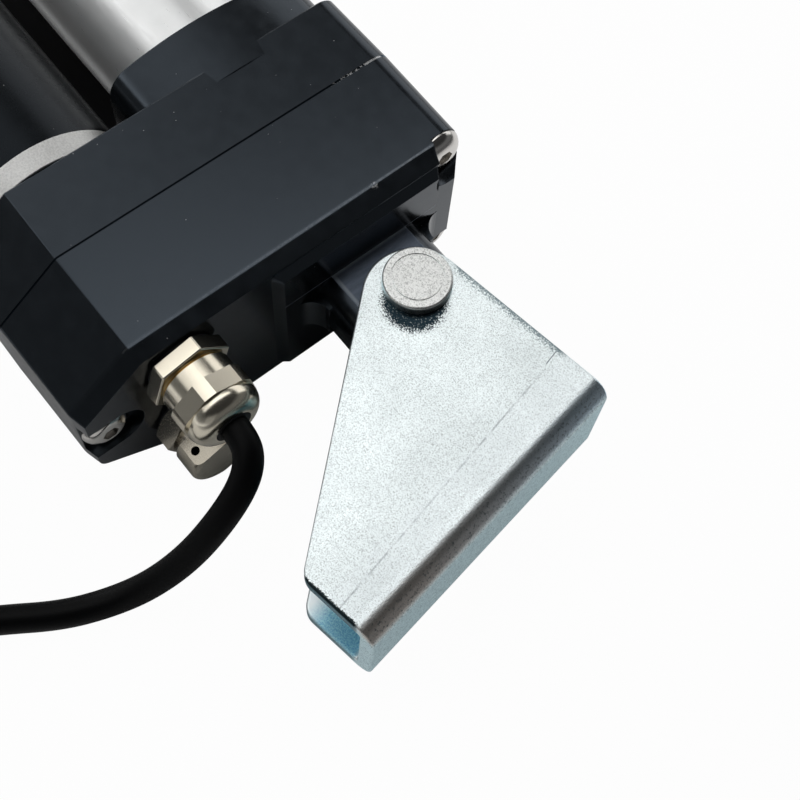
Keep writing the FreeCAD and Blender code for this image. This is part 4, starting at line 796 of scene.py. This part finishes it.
# The tail leaves the coil at an angle, and runs straight on and down to the connector
TAIL_ANGLE = 100.0
COIL_END = TAIL_ANGLE - 3 * 360
TAIL_SKIP = 13.0
TAIL_LEAD = 3.0
TAIL_SLOPE = 6.0
TAIL_DROP = 1.2
TAIL_RUN = 20.0
TAIL_REST = 4.0


def eased(angle, between, first, last):
    """Smooth change from first to last as the angle runs through an interval."""
    share = (angle - between[0]) / (between[1] - between[0])
    share = min(1.0, max(0.0, share))
    share = share * share * (3 - 2 * share)
    return first + (last - first) * share


def coil_points():
    """Control points of the coil, a little outside its line so that the curve comes out at its radius."""
    outside = math.cos(math.radians(COIL_STEP / 2)) ** 0.5
    points = []
    angle = COIL_START - COIL_STEP
    while angle > COIL_END:
        radius = eased(angle, MOVE_IN, COIL_OUTER, COIL_INNER)
        radius += eased(angle, MOVE_OUT, 0, COIL_OUTER - COIL_INNER)
        turn = math.radians(angle)
        points.append((
            COIL_CENTRE[0] + radius * math.cos(turn) / outside,
            COIL_CENTRE[1] + radius * math.sin(turn) / outside,
            eased(angle, CLIMB, LAYER_LOW, LAYER_HIGH),
        ))
        angle -= COIL_STEP
    return points


def tail_points():
    turn = math.radians(TAIL_ANGLE)
    along = Vector((math.sin(turn), -math.cos(turn), 0))
    leave = Vector((
        COIL_CENTRE[0] + COIL_OUTER * math.cos(turn),
        COIL_CENTRE[1] + COIL_OUTER * math.sin(turn),
        LAYER_HIGH,
    ))
    skip = leave + along * TAIL_SKIP
    slope = skip + along * TAIL_SLOPE
    slope.z = LAYER_HIGH - TAIL_DROP
    meet = skip + along * TAIL_RUN
    meet.z = FLOOR + CABLE_R
    rest = meet - along * TAIL_REST
    return [tuple(point) for point in (leave, skip - along * TAIL_LEAD, slope, rest, meet)]


def make_cable():
    points = CABLE_ROUTE + coil_points() + tail_points()
    data = bpy.data.curves.new("cable_line", "CURVE")
    data.dimensions = "3D"
    spline = data.splines.new("NURBS")
    spline.points.add(len(points) - 1)
    for control, point in zip(spline.points, points):
        control.co = (*at(*point), 1)
    spline.order_u = 3
    spline.use_endpoint_u = True
    spline.resolution_u = 8
    data.bevel_depth = CABLE_R * MM
    data.bevel_resolution = 8
    data.use_fill_caps = True
    data.materials.append(JACKET.material)
    cable = put("cable_run", data)
    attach(cable, "gearbox")
    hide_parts("cable", "cable_coil", "cable_tail")
    return cable


# Studio

# Floor: its reach in metres, its tones, among them painted shade and painted shadow, and how white it looks
# to the camera
FLOOR_REACH = 12.0
FLOOR_SEEN = 0.975
FLOOR_PALE = (0.86, 0.86, 0.86, 1)
FLOOR_PAINTED_SHADE = (0.22, 0.22, 0.23, 1)
FLOOR_PAINTED_SHADOW = (0.01, 0.01, 0.011, 1)
# Areas of it, as lower limit, upper limit and soft edge along X and along Y: under the object;
# under the lug, where the paper is painted dim as shade; and below the gap between tube and motor, painted
# black as shadow
UNDER_OBJECT = ((-25, 70, 20), (-17, 85, 8))
LUG_SHADE_AREA = ((-20, 60, 12), (-2, 16, 5))
GAP_SHADOW_AREA = ((66, 138, 6), (6, 24, 5))
# How much of the white shows in shiny faces: beside the bracket, and fading out behind it
BESIDE_X = (-60, -30)
BESIDE_Y = (-26, -14)
BESIDE_SHARE = 0.66
BEHIND_X = (-130, -60)
BEHIND_SHARES = (0.02, 0.33)
# Past here the paper is painted dim, a painted shade that shows in shiny faces
SHADE_BEHIND_X = (-150, -80)


def make_floor():
    mesh = bpy.data.meshes.new("floor")
    corners = [(x * FLOOR_REACH, y * FLOOR_REACH, 0) for x, y in ((-1, -1), (1, -1), (1, 1), (-1, 1))]
    mesh.from_pydata(corners, [], [(0, 1, 2, 3)])
    floor = put("floor", mesh)
    finish = Finish("paper", Roughness=0.9, IOR=1.3)
    x = finish.along(1, 0, 0)
    y = finish.along(0, 1, 0)

    def area(limits):
        return finish.times(finish.band(x, *limits[0]), finish.band(y, *limits[1]))

    def outside(mask):
        return finish.span(mask, 0, 1, 1, 0)

    # Painted shadow below the gap, and painted shade under the lug and behind the bracket
    gap_shadow = area(GAP_SHADOW_AREA)
    shade_patches = finish.either(area(LUG_SHADE_AREA), finish.span(x, *SHADE_BEHIND_X, 1, 0))
    paper = finish.mix(shade_patches, FLOOR_PALE, FLOOR_PAINTED_SHADE)
    finish.colour(finish.mix(gap_shadow, paper, FLOOR_PAINTED_SHADOW))

    rays = finish.add("ShaderNodeLightPath")
    beside = finish.times(finish.span(x, *BESIDE_X), finish.span(y, *BESIDE_Y, BESIDE_SHARE, 0))
    behind = finish.span(x, *BEHIND_X, *BEHIND_SHARES)
    mirrored = finish.times(
        rays.outputs["Is Glossy Ray"], outside(area(UNDER_OBJECT)), finish.either(beside, behind))
    white = finish.either(finish.times(rays.outputs["Is Camera Ray"], FLOOR_SEEN), mirrored)

    blend = finish.add("ShaderNodeMixShader")
    finish.feed(blend.inputs[0], finish.times(white, outside(gap_shadow)))
    finish.feed(blend.inputs[1], finish.shader.outputs[0])
    finish.feed(blend.inputs[2], finish.add("ShaderNodeEmission").outputs[0])
    finish.feed(finish.tree.nodes["Material Output"].inputs["Surface"], blend.outputs[0])
    mesh.materials.append(finish.material)


def graph(tree, value, points):
    """A value between 0 and 1 read off straight lines through points of the unit square."""
    node = tree.nodes.new("ShaderNodeFloatCurve")
    line = node.mapping.curves[0]
    line.points[0].location = points[0]
    line.points[1].location = points[-1]
    for point in points[1:-1]:
        line.points.new(*point)
    for point in line.points:
        point.handle_type = "VECTOR"
    node.mapping.update()
    tree.links.new(value, node.inputs["Value"])
    return node.outputs["Value"]


def combine(tree, operation, first, second):
    node = tree.nodes.new("ShaderNodeMath")
    node.operation = operation
    tree.links.new(first, node.inputs[0])
    tree.links.new(second, node.inputs[1])
    return node.outputs[0]


def panel(name, centre, size, level, target=None):
    """Soft box light of this brightness; it faces down, or towards a target."""
    data = bpy.data.lights.new(name, "AREA")
    data.shape = "RECTANGLE"
    data.size = size[0]
    data.size_y = size[1]
    data.energy = 4 * level * size[0] * size[1]
    light = put(name, data)
    light.location = centre
    if target is not None:
        light.rotation_euler = (target - centre).to_track_quat("-Z", "Y").to_euler()
    light.visible_camera = False
    return data


# Overhead soft box: its reach along X and Y and its height, in metres from the pivot.
# Its brightness is the sum of three parts, each a graph along X times a graph along Y:
# a bright strip over the bracket, a wide part over the gearbox, and a far one over tube and motor.
BOX_X = (0.08, 1.86)
BOX_Y = (-0.80, 1.20)
BOX_HEIGHT = 1.0
BOX_LEVEL = 1.44
BOX_STRIP_X = [(0.08, 0.0), (0.14, 1.0), (0.34, 1.0), (0.46, 0.0), (1.86, 0.0)]
BOX_STRIP_Y = [(-0.80, 0.9), (-0.60, 1.0), (0.40, 1.0), (0.60, 0.6), (1.20, 0.5)]
BOX_WIDE_X = [
    (0.08, 0.0), (0.34, 0.0), (0.46, 0.71), (0.52, 0.635), (0.63, 0.46), (0.70, 0.34), (0.78, 0.36),
    (0.85, 0.60), (1.20, 0.60), (1.86, 0.4),
]
BOX_WIDE_Y = [
    (-0.80, 0.06), (-0.62, 0.18), (-0.44, 0.38), (-0.37, 0.53), (-0.29, 0.68), (-0.18, 0.96), (-0.05, 1.0),
    (0.10, 1.0), (0.25, 0.80), (1.0, 0.80), (1.20, 0.5),
]
BOX_FAR_X = [(0.08, 0.0), (0.78, 0.0), (0.86, 0.5), (1.30, 0.5), (1.40, 0.0), (1.86, 0.0)]
BOX_FAR_Y = [(-0.80, 0.0), (0.20, 0.0), (0.50, 0.6), (0.90, 1.0), (1.20, 1.0)]
# Weaker soft boxes that face the pivot: place in metres from it, size and brightness
FILLS = {
    "fill": ((-0.9, 0.9, 0.5), (0.8, 0.6), 0.1),
    "right_fill": ((0.5, -1.0, 0.42), (1.6, 0.7), 0.8),
    "end_fill": ((2.6, 0.2, 0.7), (2.0, 0.6), 2.5),
}


def make_soft_box():
    size = (BOX_X[1] - BOX_X[0], BOX_Y[1] - BOX_Y[0])
    centre = HOME + Vector((sum(BOX_X) / 2, sum(BOX_Y) / 2, BOX_HEIGHT))
    data = panel("soft_box", centre, size, BOX_LEVEL)
    data.use_nodes = True
    tree = data.node_tree
    place = tree.nodes.new("ShaderNodeSeparateXYZ")
    tree.links.new(tree.nodes.new("ShaderNodeNewGeometry").outputs["Parametric"], place.inputs[0])

    def share(axis, reach, points):
        length = reach[1] - reach[0]
        return graph(tree, place.outputs[axis], [((p - reach[0]) / length, level) for p, level in points])

    def part(x_points, y_points):
        return combine(tree, "MULTIPLY", share("X", BOX_X, x_points), share("Y", BOX_Y, y_points))

    total = part(BOX_STRIP_X, BOX_STRIP_Y)
    total = combine(tree, "ADD", total, part(BOX_WIDE_X, BOX_WIDE_Y))
    total = combine(tree, "ADD", total, part(BOX_FAR_X, BOX_FAR_Y))
    tree.links.new(total, tree.nodes["Emission"].inputs["Strength"])


def make_lights():
    make_soft_box()
    for name, (offset, size, level) in FILLS.items():
        panel(name, HOME + Vector(offset), size, level, HOME)


# Brightness of the surroundings by height above the horizon,
# and a glow low down on the sides away from the bracket
WORLD_COLOUR = (0.97, 0.985, 1.0, 1)
SKY = [(0.0, 0.10), (0.20, 0.14), (0.42, 0.14), (0.60, 0.03), (1.0, 0.03)]
GLOW = [(0.0, 0.9), (0.06, 0.9), (0.20, 0.0), (1.0, 0.0)]
GLOW_SIDE = (0.7, 0.7, 0.0)
GLOW_FADE = (-0.3, 0.3)


def make_world():
    world = bpy.data.worlds.new("studio")
    bpy.context.scene.world = world
    world.use_nodes = True
    tree = world.node_tree
    place = tree.nodes.new("ShaderNodeTexCoord").outputs["Generated"]
    split = tree.nodes.new("ShaderNodeSeparateXYZ")
    tree.links.new(place, split.inputs[0])
    side = tree.nodes.new("ShaderNodeVectorMath")
    side.operation = "DOT_PRODUCT"
    tree.links.new(place, side.inputs[0])
    side.inputs[1].default_value = GLOW_SIDE
    share = tree.nodes.new("ShaderNodeMapRange")
    share.inputs["From Min"].default_value = GLOW_FADE[0]
    share.inputs["From Max"].default_value = GLOW_FADE[1]
    tree.links.new(side.outputs["Value"], share.inputs["Value"])
    glow = combine(tree, "MULTIPLY", graph(tree, split.outputs["Z"], GLOW), share.outputs["Result"])
    level = combine(tree, "ADD", glow, graph(tree, split.outputs["Z"], SKY))
    seen = tree.nodes.new("ShaderNodeLightPath").outputs["Is Camera Ray"]
    background = tree.nodes["Background"]
    background.inputs["Color"].default_value = WORLD_COLOUR
    tree.links.new(combine(tree, "MAXIMUM", level, seen), background.inputs["Strength"])


# Assembly

# Nodes that show as they are, with a finish of their own instead of their slot's
PLAIN = {
    "rear_housing": CASING_PAINT,
    "front_housing": CASING_PAINT,
    "housing_screws": STAINLESS,
    "pivot_pin": PIN_PLATE,
    # The vent's nickel is darkened as painted shade
    "vent_body": SHADED_NICKEL,
    "vent_cap": SHADED_NICKEL,
}
# Nodes that get eased edges: their finish and the edges' width
EASED = {
    "motor_end_ring": (CAST, 0.2),
    "motor_tube": (MOTOR_PAINT, 0.2),
    "motor_end_cap": (MOTOR_PAINT, 0.3),
    "outer_tube": (TUBE, 0.1),
    "front_cap": (PAINT, 0.3),
    "rear_bracket": (ZINC, 0.5),
    "pivot_washers": (NYLON, 0.2),
    "pin_clip": (STEEL, 0.1),
    "extension_rod": (ROD, 0.2),
    "rod_end_eye": (STAINLESS, 0.4),
    "cable_connector": (PLASTIC, 0.3),
    "cable_tie": (PLASTIC, 0.15),
}

bpy.context.scene.view_settings.view_transform = "Standard"
make_camera()
make_floor()
make_lights()
make_world()

for node, thing in frame["nodes"].items():
    finish = PLAIN.get(node, SLOT_FINISH[NODE_SLOT[node]])
    thing.data.materials.clear()
    thing.data.materials.append(finish.material)

for node, (finish, edge) in EASED.items():
    dressed(node, finish, edge)

make_gland_nut()
make_thread()
cable = make_cable()
